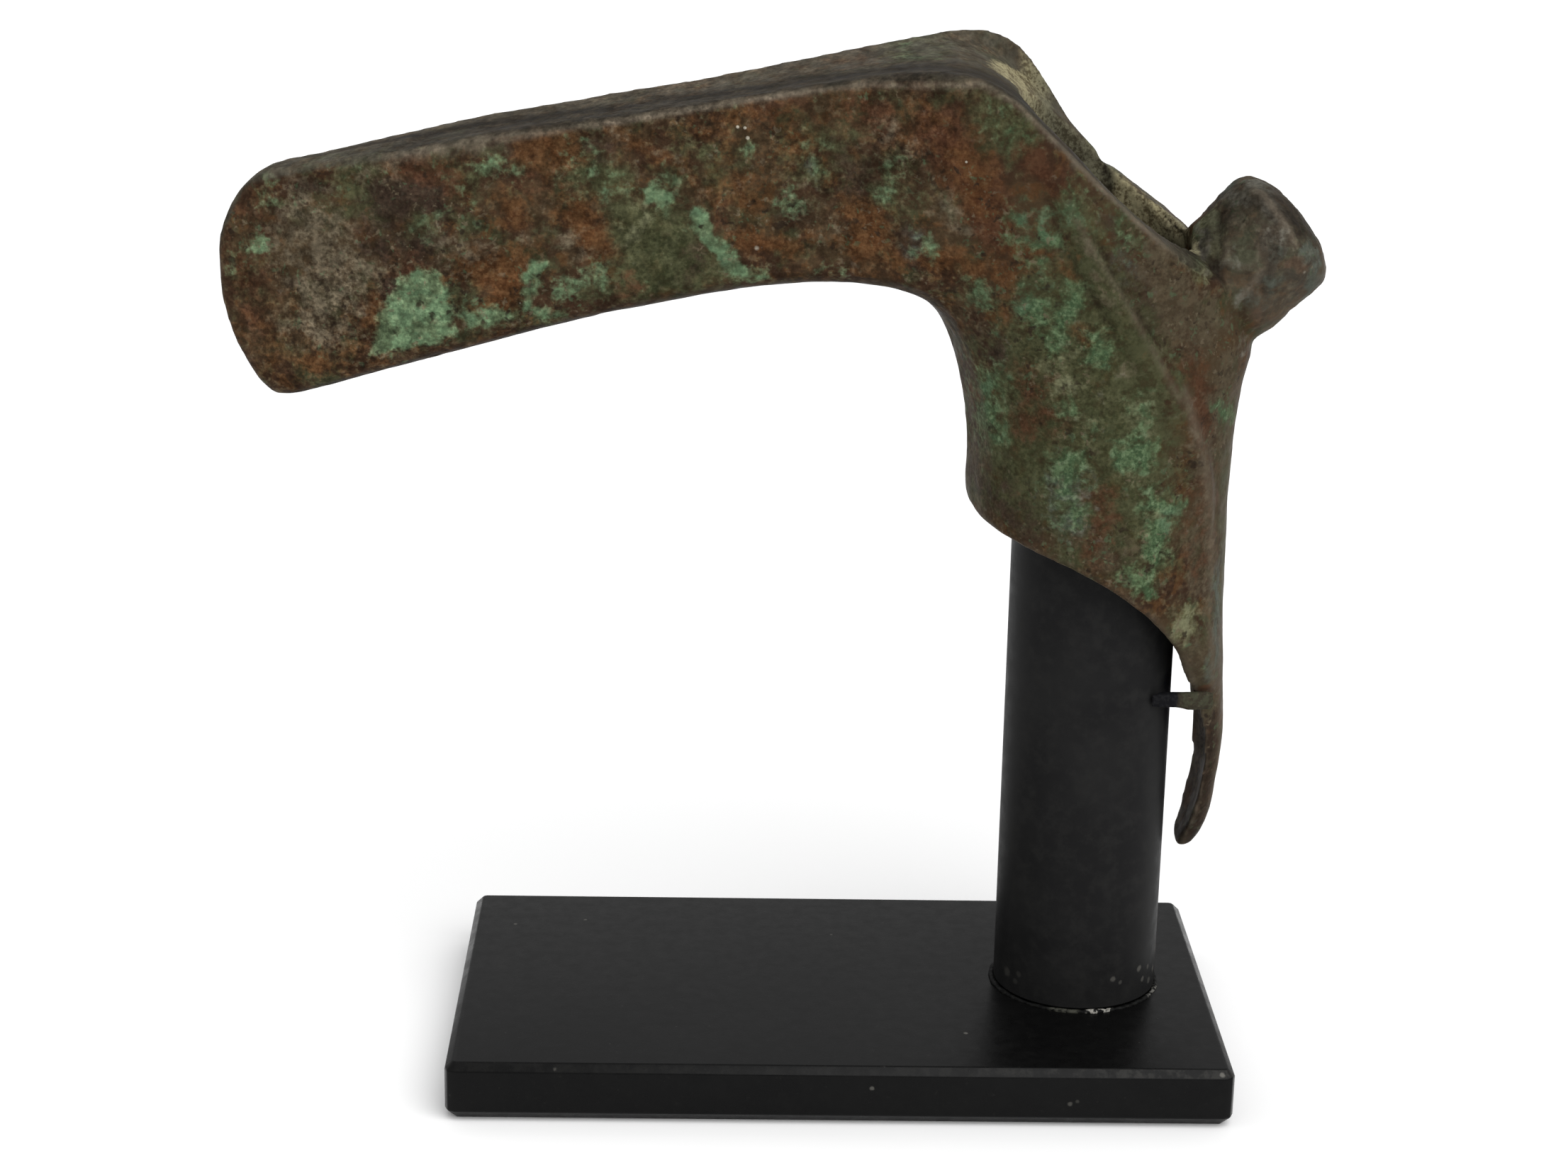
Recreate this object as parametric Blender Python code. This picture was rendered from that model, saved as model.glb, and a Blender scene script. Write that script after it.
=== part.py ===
"""Bronze adze head shown on its stand: base plate, post and prong.

Blender 4.5, metres, +Z up. The origin is the middle of the base plate's underside,
-X points to the cutting edge and +Y points away from the side that is looked at.
The head is modelled about its own datum, a point on the shaft hole's axis, with the
blade to -X and the tongue down; it then leans a little towards -Y over the post.
"""
import math

import bmesh
import bpy
from mathutils import Matrix, Vector
from mathutils.bvhtree import BVHTree

MM = 0.001
GAP = 0.3                       # air between two pieces, mm

# Stand, mm
PLATE_LENGTH = 114.0
PLATE_DEPTH = 62.8
PLATE_THICKNESS = 9.0
PLATE_CORNER_CHAMFER = 1.5
PLATE_EDGE_CHAMFER = 1.1        # round the top
PLATE_FOOT_CHAMFER = 1.6        # round the underside
POST_X = 36.7                   # from the middle of the plate
POST_Y = 0.8
POST_RADIUS = 12.3
POST_HEIGHT = 96.0              # above the plate, its top is inside the socket
POST_CHAMFER = 1.2
POST_SIDES = 64

# Head, mm, about its datum
DATUM_HEIGHT = 78.0             # above the plate's top
LEAN = math.radians(3.5)        # the top leans towards -Y
SOCKET_REACH = 19.4             # socket's half length along X
SOCKET_HALF_WIDTH = 17.0
RIM_WALL = 1.7                  # metal left beside the trough and the mouth
EDGE_ROUND = 0.5                # rounding of the rims at the top
LOWER_ROUND = 1.1               # rounding of the socket's lower rim
TONGUE_FULLNESS = 0.96          # width at the middle of its thickness over that inside
BLADE_ROUND = 3.0               # rounding of the blade's lower edge
RING_STEPS = 16                 # points along one side of a section
STEPS_BETWEEN_SECTIONS = 2
TROUGH_START_DEPTH = 0.7
TROUGH_DEPTH = 1.4              # at the apex
TROUGH_END_SHARE = 0.1          # of its depth left beside the mouth
TROUGH_CLEAR = 8.0              # how far the trough's cutter stands above the rims
TROUGH_CLEAR_END = 1.0          # the same beside the mouth

# Knob, mm
KNOB_CENTRE = (19.9, 35.6)      # a point on its axis, x and z
KNOB_TILT = math.radians(40.0)  # axis above the horizontal
KNOB_PROFILE = (                # distance along the axis, radius, sag below the axis
    (-10.0, 8.7, 0.9), (-4.5, 9.3, 0.8), (-1.5, 9.35, 0.6), (2.2, 9.45, 0.2), (4.2, 9.6, 0.0),
    (5.4, 9.4, -0.1), (6.6, 8.7, 0.0), (7.7, 7.0, 0.0), (8.4, 4.8, 0.0), (8.7, 2.4, 0.0),
)
KNOB_END = 8.75
KNOB_SIDES = 40

# Rib across the side of the socket, mm: x and z of its middle line, top to bottom
RIB_LINE = ((-9.4, 51.0), (-4.3, 38.9), (1.6, 28.5), (7.8, 17.9), (13.0, 6.6), (14.8, -3.0))
RIB_HALF_WIDTH = 2.4
RIB_HEIGHT = 0.9

# Prong, mm
PRONG_HEIGHT = 2.7
PRONG_THICKNESS = 1.6
PRONG_LEVEL = 48.6              # middle, above the plate's top
PRONG_SIDE = -8.2               # its face next to the tongue, from the post's axis
PRONG_REACH = 17.6              # its tip, from the post's axis


def oval_half_width(x):
    """Half width of the socket's oval outline at x."""
    share = min(1.0, abs(x) / SOCKET_REACH)
    return SOCKET_HALF_WIDTH * math.sqrt(1.0 - share * share)


def blade(outer, inner, widths, far_lift=0.0, rounding=BLADE_ROUND):
    """Section through the blade or the elbow, half widths from inner to outer point."""
    return (*outer, *inner, *widths, far_lift, rounding)


def tube(outer, inner):
    """Section through the socket, whose half widths follow the oval."""
    middle = 0.5 * (outer[0] + inner[0])
    widths = (oval_half_width(inner[0]), oval_half_width(middle), 0.0)
    return (*outer, *inner, *widths, 0.0, LOWER_ROUND)


def tongue(outer, inner, half_width):
    """Section through the tongue, nearly as wide at its middle as inside."""
    widths = (half_width, TONGUE_FULLNESS * half_width, 0.0)
    return (*outer, *inner, *widths, 0.0, LOWER_ROUND)


# Sections of the head from the cutting edge, along the blade, round the elbow, down
# the socket and down the tongue. Each one joins a point of the outer outline (top of
# the blade, slanted mouth, back of the socket) to a point of the inner outline
# (bottom of the blade, front of the socket, slanted lower rim, tongue). far_lift is
# how much higher the far rim stands than the near one.
SECTIONS = (
    blade((-126.4, 34.2), (-126.4, 30.2), (0.5, 0.5, 0.5), rounding=1.0),
    blade((-126.0, 36.6), (-126.2, 27.0), (0.8, 0.8, 0.8), rounding=1.0),
    blade((-124.5, 40.5), (-125.2, 22.6), (1.2, 1.2, 1.2), rounding=1.5),
    blade((-122.0, 43.9), (-123.0, 17.2), (1.7, 1.9, 1.9), rounding=2.0),
    blade((-118.6, 46.2), (-119.3, 12.7), (2.4, 2.7, 2.8)),
    blade((-113.0, 47.3), (-113.0, 13.7), (3.4, 4.1, 4.2)),
    blade((-102.0, 49.5), (-101.0, 17.4), (4.4, 5.9, 6.6)),
    blade((-88.0, 52.7), (-86.5, 21.6), (5.0, 6.6, 7.4)),
    blade((-73.0, 55.3), (-72.0, 25.7), (5.6, 7.4, 8.5)),
    blade((-58.0, 57.9), (-58.0, 28.9), (6.0, 8.0, 9.3)),
    blade((-46.0, 60.4), (-47.5, 30.5), (6.5, 8.8, 10.1)),
    blade((-36.0, 62.3), (-39.5, 31.1), (7.4, 10.2, 11.7)),
    blade((-28.0, 63.5), (-34.0, 30.9), (8.6, 12.2, 14.0)),
    blade((-21.0, 63.3), (-30.0, 30.3), (9.5, 14.0, 16.3), far_lift=0.9),
    blade((-16.0, 60.8), (-26.9, 29.0), (8.5, 15.2, 17.0), far_lift=2.6),
    blade((-11.5, 56.6), (-24.6, 26.5), (6.5, 16.0, 17.2), far_lift=2.8),
    blade((-5.0, 50.4), (-22.6, 22.6), (4.0, 16.8, 17.1), far_lift=0.4),
    blade((3.1, 43.1), (-21.1, 17.6), (2.0, 17.1, 16.6), far_lift=0.2),
    blade((9.0, 38.6), (-20.1, 12.5), (0.0, 17.1, 15.4), far_lift=0.5),
    blade((15.0, 34.2), (-19.6, 8.0), (0.0, 17.0, 10.0)),
    blade((20.6, 25.2), (-19.5, 4.0), (0.0, 17.0, 2.0)),
    tube((19.8, 18.0), (-19.3, -0.4)),
    tube((19.2, 11.5), (-17.7, -3.0)),
    tube((19.0, 5.0), (-12.5, -5.0)),
    tube((18.9, -1.5), (-5.0, -7.5)),
    tube((19.2, -8.0), (2.5, -12.1)),
    tube((19.4, -15.0), (8.3, -17.7)),
    tongue((19.7, -22.0), (11.4, -22.4), 12.0),
    tongue((20.1, -28.5), (13.4, -28.0), 9.3),
    tongue((20.6, -34.0), (14.2, -33.6), 7.2),
    tongue((20.8, -39.5), (14.7, -39.0), 6.3),
    tongue((20.3, -45.5), (14.2, -44.6), 5.9),
    tongue((19.9, -50.3), (13.8, -48.8), 5.3),
    tongue((18.9, -53.9), (13.4, -52.4), 4.4),
    tongue((17.6, -56.3), (13.8, -55.2), 3.2),
    tongue((16.3, -57.4), (14.6, -56.9), 1.6),
)
TROUGH_START = 6                # section where the trough begins
TROUGH_DEEP = 13                # section of the apex, where it is deepest
TROUGH_END = 17                 # section beside the slanted mouth, where it has run out

# Shaft hole: height, front, back, half width; it follows the tongue's curve below
HOLE_LEVELS = (
    (-64.0, 0.0, 10.5, 12.0),
    (-58.0, 0.0, 13.6, 12.0),
    (-54.0, 0.0, 15.6, 12.5),
    (-50.0, -2.0, 17.0, 13.0),
    (-45.0, -8.0, 18.2, 13.6),
    (-39.0, -14.0, 18.8, 14.2),
    (-31.0, -16.2, 18.3, 14.6),
    (-20.0, -16.4, 17.4, 14.6),
    (-6.0, -16.4, 16.4, 14.6),
    (8.0, -16.0, 15.4, 14.5),
    (22.0, -14.6, 13.4, 14.2),
    (38.0, -14.0, 11.2, 13.6),
    (56.0, -14.2, 10.8, 13.6),
    (76.0, -14.6, 10.8, 13.6),
)
HOLE_SIDES = 40


def catmull_rom(rows, steps):
    """Points on a smooth curve through rows, which are tuples of numbers."""
    out = []
    for index in range(len(rows) - 1):
        before = rows[max(index - 1, 0)]
        start = rows[index]
        end = rows[index + 1]
        after = rows[min(index + 2, len(rows) - 1)]
        for step in range(steps):
            t = step / steps
            point = []
            for a, b, c, d in zip(before, start, end, after):
                point.append(0.5 * (2.0 * b + (c - a) * t
                                    + (2.0 * a - 5.0 * b + 4.0 * c - d) * t * t
                                    + (3.0 * b - a - 3.0 * c + d) * t ** 3))
            out.append(tuple(point))
    out.append(tuple(rows[-1]))
    return out


def material(name, colour, roughness, metallic):
    made = bpy.data.materials.new(name)
    made.use_nodes = True
    shader = made.node_tree.nodes["Principled BSDF"]
    shader.inputs["Base Color"].default_value = (*colour, 1.0)
    shader.inputs["Roughness"].default_value = roughness
    shader.inputs["Metallic"].default_value = metallic
    return made


def add_object(name, mesh_data, finish=None):
    """Object from a bmesh in millimetres, turned into metres."""
    bmesh.ops.scale(mesh_data, vec=(MM, MM, MM), verts=mesh_data.verts)
    bmesh.ops.recalc_face_normals(mesh_data, faces=mesh_data.faces)
    mesh = bpy.data.meshes.new(name)
    mesh_data.to_mesh(mesh)
    mesh_data.free()
    made = bpy.data.objects.new(name, mesh)
    bpy.context.scene.collection.objects.link(made)
    if finish is not None:
        mesh.materials.append(finish)
    return made


def smooth(thing, degrees):
    thing.data.shade_smooth()
    thing.data.set_sharp_from_angle(angle=math.radians(degrees))


def skin_rings(rings):
    """Closed skin over rings of equal length, with a face over each end."""
    body = bmesh.new()
    loops = [[body.verts.new(point) for point in ring] for ring in rings]
    count = len(loops[0])
    for first, second in zip(loops, loops[1:]):
        for index in range(count):
            after = (index + 1) % count
            body.faces.new((first[index], first[after], second[after], second[index]))
    body.faces.new(loops[0])
    body.faces.new(reversed(loops[-1]))
    return body


def cutter(name, mesh_data):
    made = add_object(name, mesh_data)
    made.hide_render = True
    made.display_type = "WIRE"
    return made


def combine(target, tool, operation):
    change = target.modifiers.new(tool.name, "BOOLEAN")
    change.operation = operation
    change.object = tool
    change.solver = "EXACT"


# Head -------------------------------------------------------------------------

def end_share(distance, radius):
    """Share of the width that is left at a distance from a rounded end."""
    if distance >= radius:
        return 1.0
    return math.sqrt(max(0.0, 1.0 - (1.0 - distance / radius) ** 2))


def section_ring(section):
    """Closed ring of points for one section, symmetric about Y = 0 but for its lift."""
    outer = Vector((section[0], 0.0, section[1]))
    inner = Vector((section[2], 0.0, section[3]))
    low, middle, high = (max(0.0, width) for width in section[4:7])
    far_lift, rounding = section[7:9]
    chord = outer - inner
    up = chord.normalized()
    near = []
    far = []
    for step in range(1, RING_STEPS):
        t = 0.5 * (1.0 - math.cos(math.pi * step / RING_STEPS))
        # the squared width is a parabola in t, which is exact for an oval
        squared = (low ** 2 * (1.0 - t) * (1.0 - 2.0 * t)
                   + middle ** 2 * 4.0 * t * (1.0 - t)
                   + high ** 2 * t * (2.0 * t - 1.0))
        half = math.sqrt(max(squared, 0.04))
        half *= end_share(t * chord.length, rounding)
        half -= EDGE_ROUND * (1.0 - end_share((1.0 - t) * chord.length, EDGE_ROUND))
        half = max(0.1, half)
        place = inner + chord * t
        near.append(place - Vector((0.0, half, 0.0)))
        far.append(place + Vector((0.0, half, 0.0)) + up * far_lift * max(0.0, 4.0 * t - 3.0))
    return [inner] + far + [outer + up * 0.5 * far_lift] + near[::-1]


def trough_ring(section, depth, clear):
    """Ring of the cutter that hollows the top between the two rims."""
    outer = Vector((section[0], 0.0, section[1]))
    inner = Vector((section[2], 0.0, section[3]))
    up = (outer - inner).normalized()
    half = max(0.4, section[6] - RIM_WALL)
    ring = []
    steps = 10
    for step in range(steps + 1):
        angle = math.pi * step / steps
        across = Vector((0.0, -half * math.cos(angle), 0.0))
        ring.append(outer + across - up * (depth * math.sin(angle) - 0.2))
    flare = Vector((0.0, half + 0.6, 0.0))
    ring.append(outer + up * clear + flare)
    ring.append(outer + up * clear - flare)
    return ring


def build_trough_cutter(sections):
    rings = []
    first = TROUGH_START * STEPS_BETWEEN_SECTIONS
    deepest = TROUGH_DEEP * STEPS_BETWEEN_SECTIONS
    last = TROUGH_END * STEPS_BETWEEN_SECTIONS - 1
    for index in range(first, last + 1):
        sinking = min(1.0, (index - first) / (deepest - first))
        past = max(0.0, (index - deepest) / (last - deepest))
        depth = TROUGH_START_DEPTH + (TROUGH_DEPTH - TROUGH_START_DEPTH) * sinking
        depth *= 1.0 - (1.0 - TROUGH_END_SHARE) * past
        clear = TROUGH_CLEAR + (TROUGH_CLEAR_END - TROUGH_CLEAR) * past
        # halfway between two sections of the head
        halfway = [0.5 * (a + b) for a, b in zip(sections[index], sections[index + 1])]
        rings.append(trough_ring(halfway, depth, clear))
    return cutter("trough_cutter", skin_rings(rings))


def build_hole_cutter():
    rings = []
    for height, front, back, half_width in catmull_rom(HOLE_LEVELS, 2):
        middle = 0.5 * (front + back)
        reach = 0.5 * (back - front)
        ring = []
        for side in range(HOLE_SIDES):
            angle = 2.0 * math.pi * side / HOLE_SIDES
            ring.append(Vector((middle + reach * math.cos(angle),
                                half_width * math.sin(angle), height)))
        rings.append(ring)
    return cutter("shaft_hole_cutter", skin_rings(rings))


def build_knob_form():
    """Turned knob that is joined to the back of the socket."""
    body = bmesh.new()
    loops = []
    for along, radius, sag in KNOB_PROFILE:
        loop = []
        for side in range(KNOB_SIDES):
            angle = 2.0 * math.pi * side / KNOB_SIDES
            loop.append(body.verts.new((along, radius * math.cos(angle),
                                        radius * math.sin(angle) - sag)))
        loops.append(loop)
    for first, second in zip(loops, loops[1:]):
        bmesh.ops.bridge_loops(body, edges=ring_edges(body, first) + ring_edges(body, second))
    tip = body.verts.new((KNOB_END, 0.0, 0.0))
    for index in range(KNOB_SIDES):
        body.faces.new((loops[-1][index], loops[-1][(index + 1) % KNOB_SIDES], tip))
    body.faces.new(loops[0])
    place = (Matrix.Translation((KNOB_CENTRE[0], 0.0, KNOB_CENTRE[1]))
             @ Matrix.Rotation(-KNOB_TILT, 4, "Y"))
    bmesh.ops.transform(body, matrix=place, verts=body.verts)
    return cutter("knob_form", body)


def ring_edges(body, loop):
    edges = []
    for index, vert in enumerate(loop):
        after = loop[(index + 1) % len(loop)]
        edge = body.edges.get((vert, after))
        if edge is None:
            edge = body.edges.new((vert, after))
        edges.append(edge)
    return edges


def rib_form(name, skin, side):
    """Flat round bar laid along the rib's line on one side; side is -1 or +1."""
    places = []
    for x, z in catmull_rom(RIB_LINE, 3):
        place, normal = skin.ray_cast(Vector((x, side * 60.0, z)), Vector((0.0, -side, 0.0)))[:2]
        places.append((place, normal))
    rings = []
    last = len(places) - 1
    for index, (place, normal) in enumerate(places):
        along = (places[min(index + 1, last)][0] - places[max(index - 1, 0)][0]).normalized()
        across = along.cross(normal).normalized()
        # it fades out at its foot
        fade = min(1.0, 0.35 + 2.2 * (1.0 - index / last))
        ring = []
        for corner in range(10):
            angle = 2.0 * math.pi * corner / 10
            ring.append(place + across * RIB_HALF_WIDTH * fade * math.cos(angle)
                        + normal * (RIB_HEIGHT * fade * math.sin(angle) - 0.12))
        rings.append(ring)
    return cutter(name, skin_rings(rings))


def build_head(finish):
    sections = catmull_rom(SECTIONS, STEPS_BETWEEN_SECTIONS)
    body = skin_rings([section_ring(section) for section in sections])
    bmesh.ops.recalc_face_normals(body, faces=body.faces)
    skin = BVHTree.FromBMesh(body)
    head = add_object("adze_head", body, finish)
    tools = ((rib_form("near_rib", skin, -1), "UNION"),
             (rib_form("far_rib", skin, 1), "UNION"),
             (build_knob_form(), "UNION"),
             (build_trough_cutter(sections), "DIFFERENCE"),
             (build_hole_cutter(), "DIFFERENCE"))
    for tool, operation in tools:
        tool.parent = head
        combine(head, tool, operation)
    head.location = Vector((POST_X, POST_Y, PLATE_THICKNESS + DATUM_HEIGHT)) * MM
    head.rotation_euler = (LEAN, 0.0, 0.0)
    smooth(head, 40)
    return head


# Stand ------------------------------------------------------------------------

def build_plate(finish):
    body = bmesh.new()
    bmesh.ops.create_cube(body, size=1.0)
    bmesh.ops.scale(body, vec=(PLATE_LENGTH, PLATE_DEPTH, PLATE_THICKNESS), verts=body.verts)
    upright = [edge for edge in body.edges
               if abs(edge.verts[0].co.z - edge.verts[1].co.z) > 1.0]
    bmesh.ops.bevel(body, geom=upright, offset=PLATE_CORNER_CHAMFER, segments=2, affect="EDGES",
                    profile=0.5)
    for side, chamfer in ((1.0, PLATE_EDGE_CHAMFER), (-1.0, PLATE_FOOT_CHAMFER)):
        level = [edge for edge in body.edges
                 if all(vert.co.z * side > 0.49 * PLATE_THICKNESS for vert in edge.verts)]
        bmesh.ops.bevel(body, geom=level, offset=chamfer, segments=1, affect="EDGES")
    plate = add_object("base_plate", body, finish)
    plate.location = (0.0, 0.0, 0.5 * PLATE_THICKNESS * MM)
    return plate


def build_post(finish):
    foot = GAP
    levels = ((foot, POST_RADIUS - 0.3), (foot + 0.3, POST_RADIUS),
              (POST_HEIGHT - POST_CHAMFER, POST_RADIUS),
              (POST_HEIGHT, POST_RADIUS - POST_CHAMFER))
    rings = []
    for height, radius in levels:
        ring = []
        for side in range(POST_SIDES):
            angle = 2.0 * math.pi * side / POST_SIDES
            ring.append(Vector((radius * math.cos(angle), radius * math.sin(angle), height)))
        rings.append(ring)
    post = add_object("post", skin_rings(rings), finish)
    post.location = Vector((POST_X, POST_Y, PLATE_THICKNESS)) * MM
    smooth(post, 30)
    return post


def build_prong(finish):
    """Flat bar from the side of the post along the near face of the tongue."""
    far = PRONG_SIDE
    near = PRONG_SIDE - PRONG_THICKNESS
    outline = []
    for y in (far, 0.5 * (far + near), near):
        outline.append((math.sqrt((POST_RADIUS + GAP) ** 2 - y * y), y))
    tip = 0.5 * PRONG_THICKNESS
    for step in range(7):
        angle = -0.5 * math.pi + math.pi * step / 6
        outline.append((PRONG_REACH - tip + tip * math.cos(angle),
                        0.5 * (far + near) + tip * math.sin(angle)))
    rings = []
    for height in (-0.5 * PRONG_HEIGHT, 0.5 * PRONG_HEIGHT):
        rings.append([Vector((x, y, height)) for x, y in outline])
    prong = add_object("prong", skin_rings(rings), finish)
    prong.location = Vector((POST_X, POST_Y, PLATE_THICKNESS + PRONG_LEVEL)) * MM
    return prong


def main():
    for thing in list(bpy.data.objects):
        bpy.data.objects.remove(thing, do_unlink=True)
    bronze = material("bronze", (0.13, 0.075, 0.035), 0.62, 0.55)
    black = material("black_paint", (0.012, 0.012, 0.013), 0.42, 0.0)
    build_plate(black)
    build_post(black)
    build_prong(black)
    build_head(bronze)


main()
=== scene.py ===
"""Bronze adze head on its stand, dressed for a still picture.

Metres, +Z up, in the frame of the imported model. The head's own measures are in
millimetres about its datum on the shaft hole's axis, before it leans.
"""

import math
from itertools import product

import bmesh
import bpy
import numpy as np
from mathutils import Matrix, Vector


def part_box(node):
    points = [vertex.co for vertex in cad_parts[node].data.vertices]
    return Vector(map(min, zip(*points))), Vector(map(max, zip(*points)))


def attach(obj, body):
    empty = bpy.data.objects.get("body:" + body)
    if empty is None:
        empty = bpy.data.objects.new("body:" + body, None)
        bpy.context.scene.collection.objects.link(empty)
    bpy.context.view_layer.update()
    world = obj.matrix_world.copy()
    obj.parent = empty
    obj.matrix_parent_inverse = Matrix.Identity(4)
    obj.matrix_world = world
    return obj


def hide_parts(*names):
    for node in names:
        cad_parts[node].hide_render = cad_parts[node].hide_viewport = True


MM = 0.001

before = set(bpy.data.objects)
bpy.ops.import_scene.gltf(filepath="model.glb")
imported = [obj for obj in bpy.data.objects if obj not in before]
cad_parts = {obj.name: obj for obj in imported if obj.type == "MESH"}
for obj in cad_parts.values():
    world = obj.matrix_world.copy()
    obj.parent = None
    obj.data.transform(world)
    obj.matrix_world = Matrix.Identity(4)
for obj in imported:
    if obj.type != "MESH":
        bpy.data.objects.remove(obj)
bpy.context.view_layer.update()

_, plate_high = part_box("base_plate")
post_low, post_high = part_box("post")
prong_low, prong_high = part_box("prong")
POST_X = 0.5 * (post_low.x + post_high.x) / MM
POST_Y = 0.5 * (post_low.y + post_high.y) / MM
POST_RADIUS = 0.5 * (post_high.x - post_low.x) / MM
PLATE_TOP = plate_high.z / MM

DATUM_HEIGHT = 78.0             # of the head's datum above the plate's top
LEAN = math.radians(3.5)
HEAD_FACES = 0.58               # size of the head's faces
PRONG_FACES = 0.22


# Noise ------------------------------------------------------------------------

def hashed(ix, iy, iz, seed):
    """A number from 0 to 1 for each whole-numbered cell, by integer hashing."""
    with np.errstate(over="ignore"):
        h = (ix.astype(np.uint32) * np.uint32(374761393)
             + iy.astype(np.uint32) * np.uint32(668265263)
             + iz.astype(np.uint32) * np.uint32(2246822519)
             + np.uint32(seed * 2654435 + 97))
        h = (h ^ (h >> np.uint32(13))) * np.uint32(1274126177)
        h = (h ^ (h >> np.uint32(15))) * np.uint32(2246822519)
        h = h ^ (h >> np.uint32(16))
    return h.astype(np.float64) / 4294967295.0


def cells_of(points, size):
    """Points counted in cells of this size, and the cell that each lies in."""
    p = points / size + 500.0
    return p, np.floor(p).astype(np.int64)


def noise(points, size, seed):
    """Smooth value noise from -1 to 1, with lumps of the given size."""
    p, cell = cells_of(points, size)
    t = p - cell
    t = t * t * t * (t * (t * 6.0 - 15.0) + 10.0)
    total = np.zeros(len(p))
    for dx, dy, dz in product((0, 1), repeat=3):
        weight = ((t[:, 0] if dx else 1.0 - t[:, 0])
                  * (t[:, 1] if dy else 1.0 - t[:, 1])
                  * (t[:, 2] if dz else 1.0 - t[:, 2]))
        total += weight * hashed(cell[:, 0] + dx, cell[:, 1] + dy, cell[:, 2] + dz, seed)
    return 2.0 * total - 1.0


def fractal(points, size, octaves, seed, keep=0.55):
    """Noise in ever finer lumps, each octave keeping a share of the last one's height."""
    total = np.zeros(len(points))
    height = 1.0
    whole = 0.0
    for octave in range(octaves):
        total += height * noise(points, size / 2 ** octave, seed + 17 * octave)
        whole += height
        height *= keep
    return total / whole


def pits(points, size, radius, chance, seed):
    """Round hollows: 1 at the middle of a pit, 0 outside, at most one to a cell."""
    p, cell = cells_of(points, size)
    deepest = np.zeros(len(p))
    for dx, dy, dz in product((-1, 0, 1), repeat=3):
        ix, iy, iz = cell[:, 0] + dx, cell[:, 1] + dy, cell[:, 2] + dz
        there = hashed(ix, iy, iz, seed) < chance
        spot = np.stack([ix + hashed(ix, iy, iz, seed + 1),
                         iy + hashed(ix, iy, iz, seed + 2),
                         iz + hashed(ix, iy, iz, seed + 3)], axis=1)
        reach = radius * (0.5 + hashed(ix, iy, iz, seed + 4)) / size
        depth = fade(1.0 - np.linalg.norm(p - spot, axis=1) / reach, 0.0, 1.0)
        deepest = np.maximum(deepest, np.where(there, depth, 0.0))
    return deepest


# Fades, lines and outlines ----------------------------------------------------

def fade(value, low, high):
    """0 up to low and 1 from high on, smooth between."""
    t = np.clip((value - low) / (high - low), 0.0, 1.0)
    return t * t * (3.0 - 2.0 * t)


def most(*shares):
    """The largest of several shares at each point."""
    return np.maximum.reduce(shares)


def between(value, low, full, falling, high):
    """1 from full to falling, smoothly down to 0 at low and at high."""
    return fade(value, low, full) * (1.0 - fade(value, falling, high))


def blob(p, middle, size):
    """1 at the (x, z) of a middle on the head, falling away over a width and a height."""
    x, z = p[:, 0] - middle[0], p[:, 2] - middle[1]
    return np.exp(-(x / size[0]) ** 2 - (z / size[1]) ** 2)


def curve_at(x, table):
    """Height of a line of (x, height) points."""
    return np.interp(x, [row[0] for row in table], [row[1] for row in table])


def line_distance(x, z, points):
    """Distance from each (x, z) to an open line of points, or to a single point."""
    nearest = np.full(len(x), 1e9)
    if len(points) == 1:
        return np.hypot(x - points[0][0], z - points[0][1])
    for (ax, az), (bx, bz) in zip(points, points[1:]):
        length = (bx - ax) ** 2 + (bz - az) ** 2
        t = np.clip(((x - ax) * (bx - ax) + (z - az) * (bz - az)) / length, 0.0, 1.0)
        nearest = np.minimum(nearest, np.hypot(x - ax - t * (bx - ax), z - az - t * (bz - az)))
    return nearest


def area_distance(x, z, points):
    """The same to a closed outline, negative inside it."""
    inside = np.zeros(len(x), bool)
    closed = list(points) + [points[0]]
    for (ax, az), (bx, bz) in zip(closed, closed[1:]):
        crosses = (az > z) != (bz > z)
        at = ax + (z - az) * (bx - ax) / (bz - az if bz != az else 1e-9)
        inside ^= crosses & (x < at)
    distance = line_distance(x, z, closed)
    return np.where(inside, -distance, distance)


def along_line(p, line, width):
    """1 on a line drawn on the side of the head, falling away on both sides."""
    away = line_distance(p[:, 0], p[:, 2], line)
    return np.exp(-(away / width) ** 2)


# Patina -----------------------------------------------------------------------
# Patches on the side of the head, by the kind of their mask. Each row: strength,
# radius, softness, then the points (x, z) of a line. Area rows fill their outline.

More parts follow.
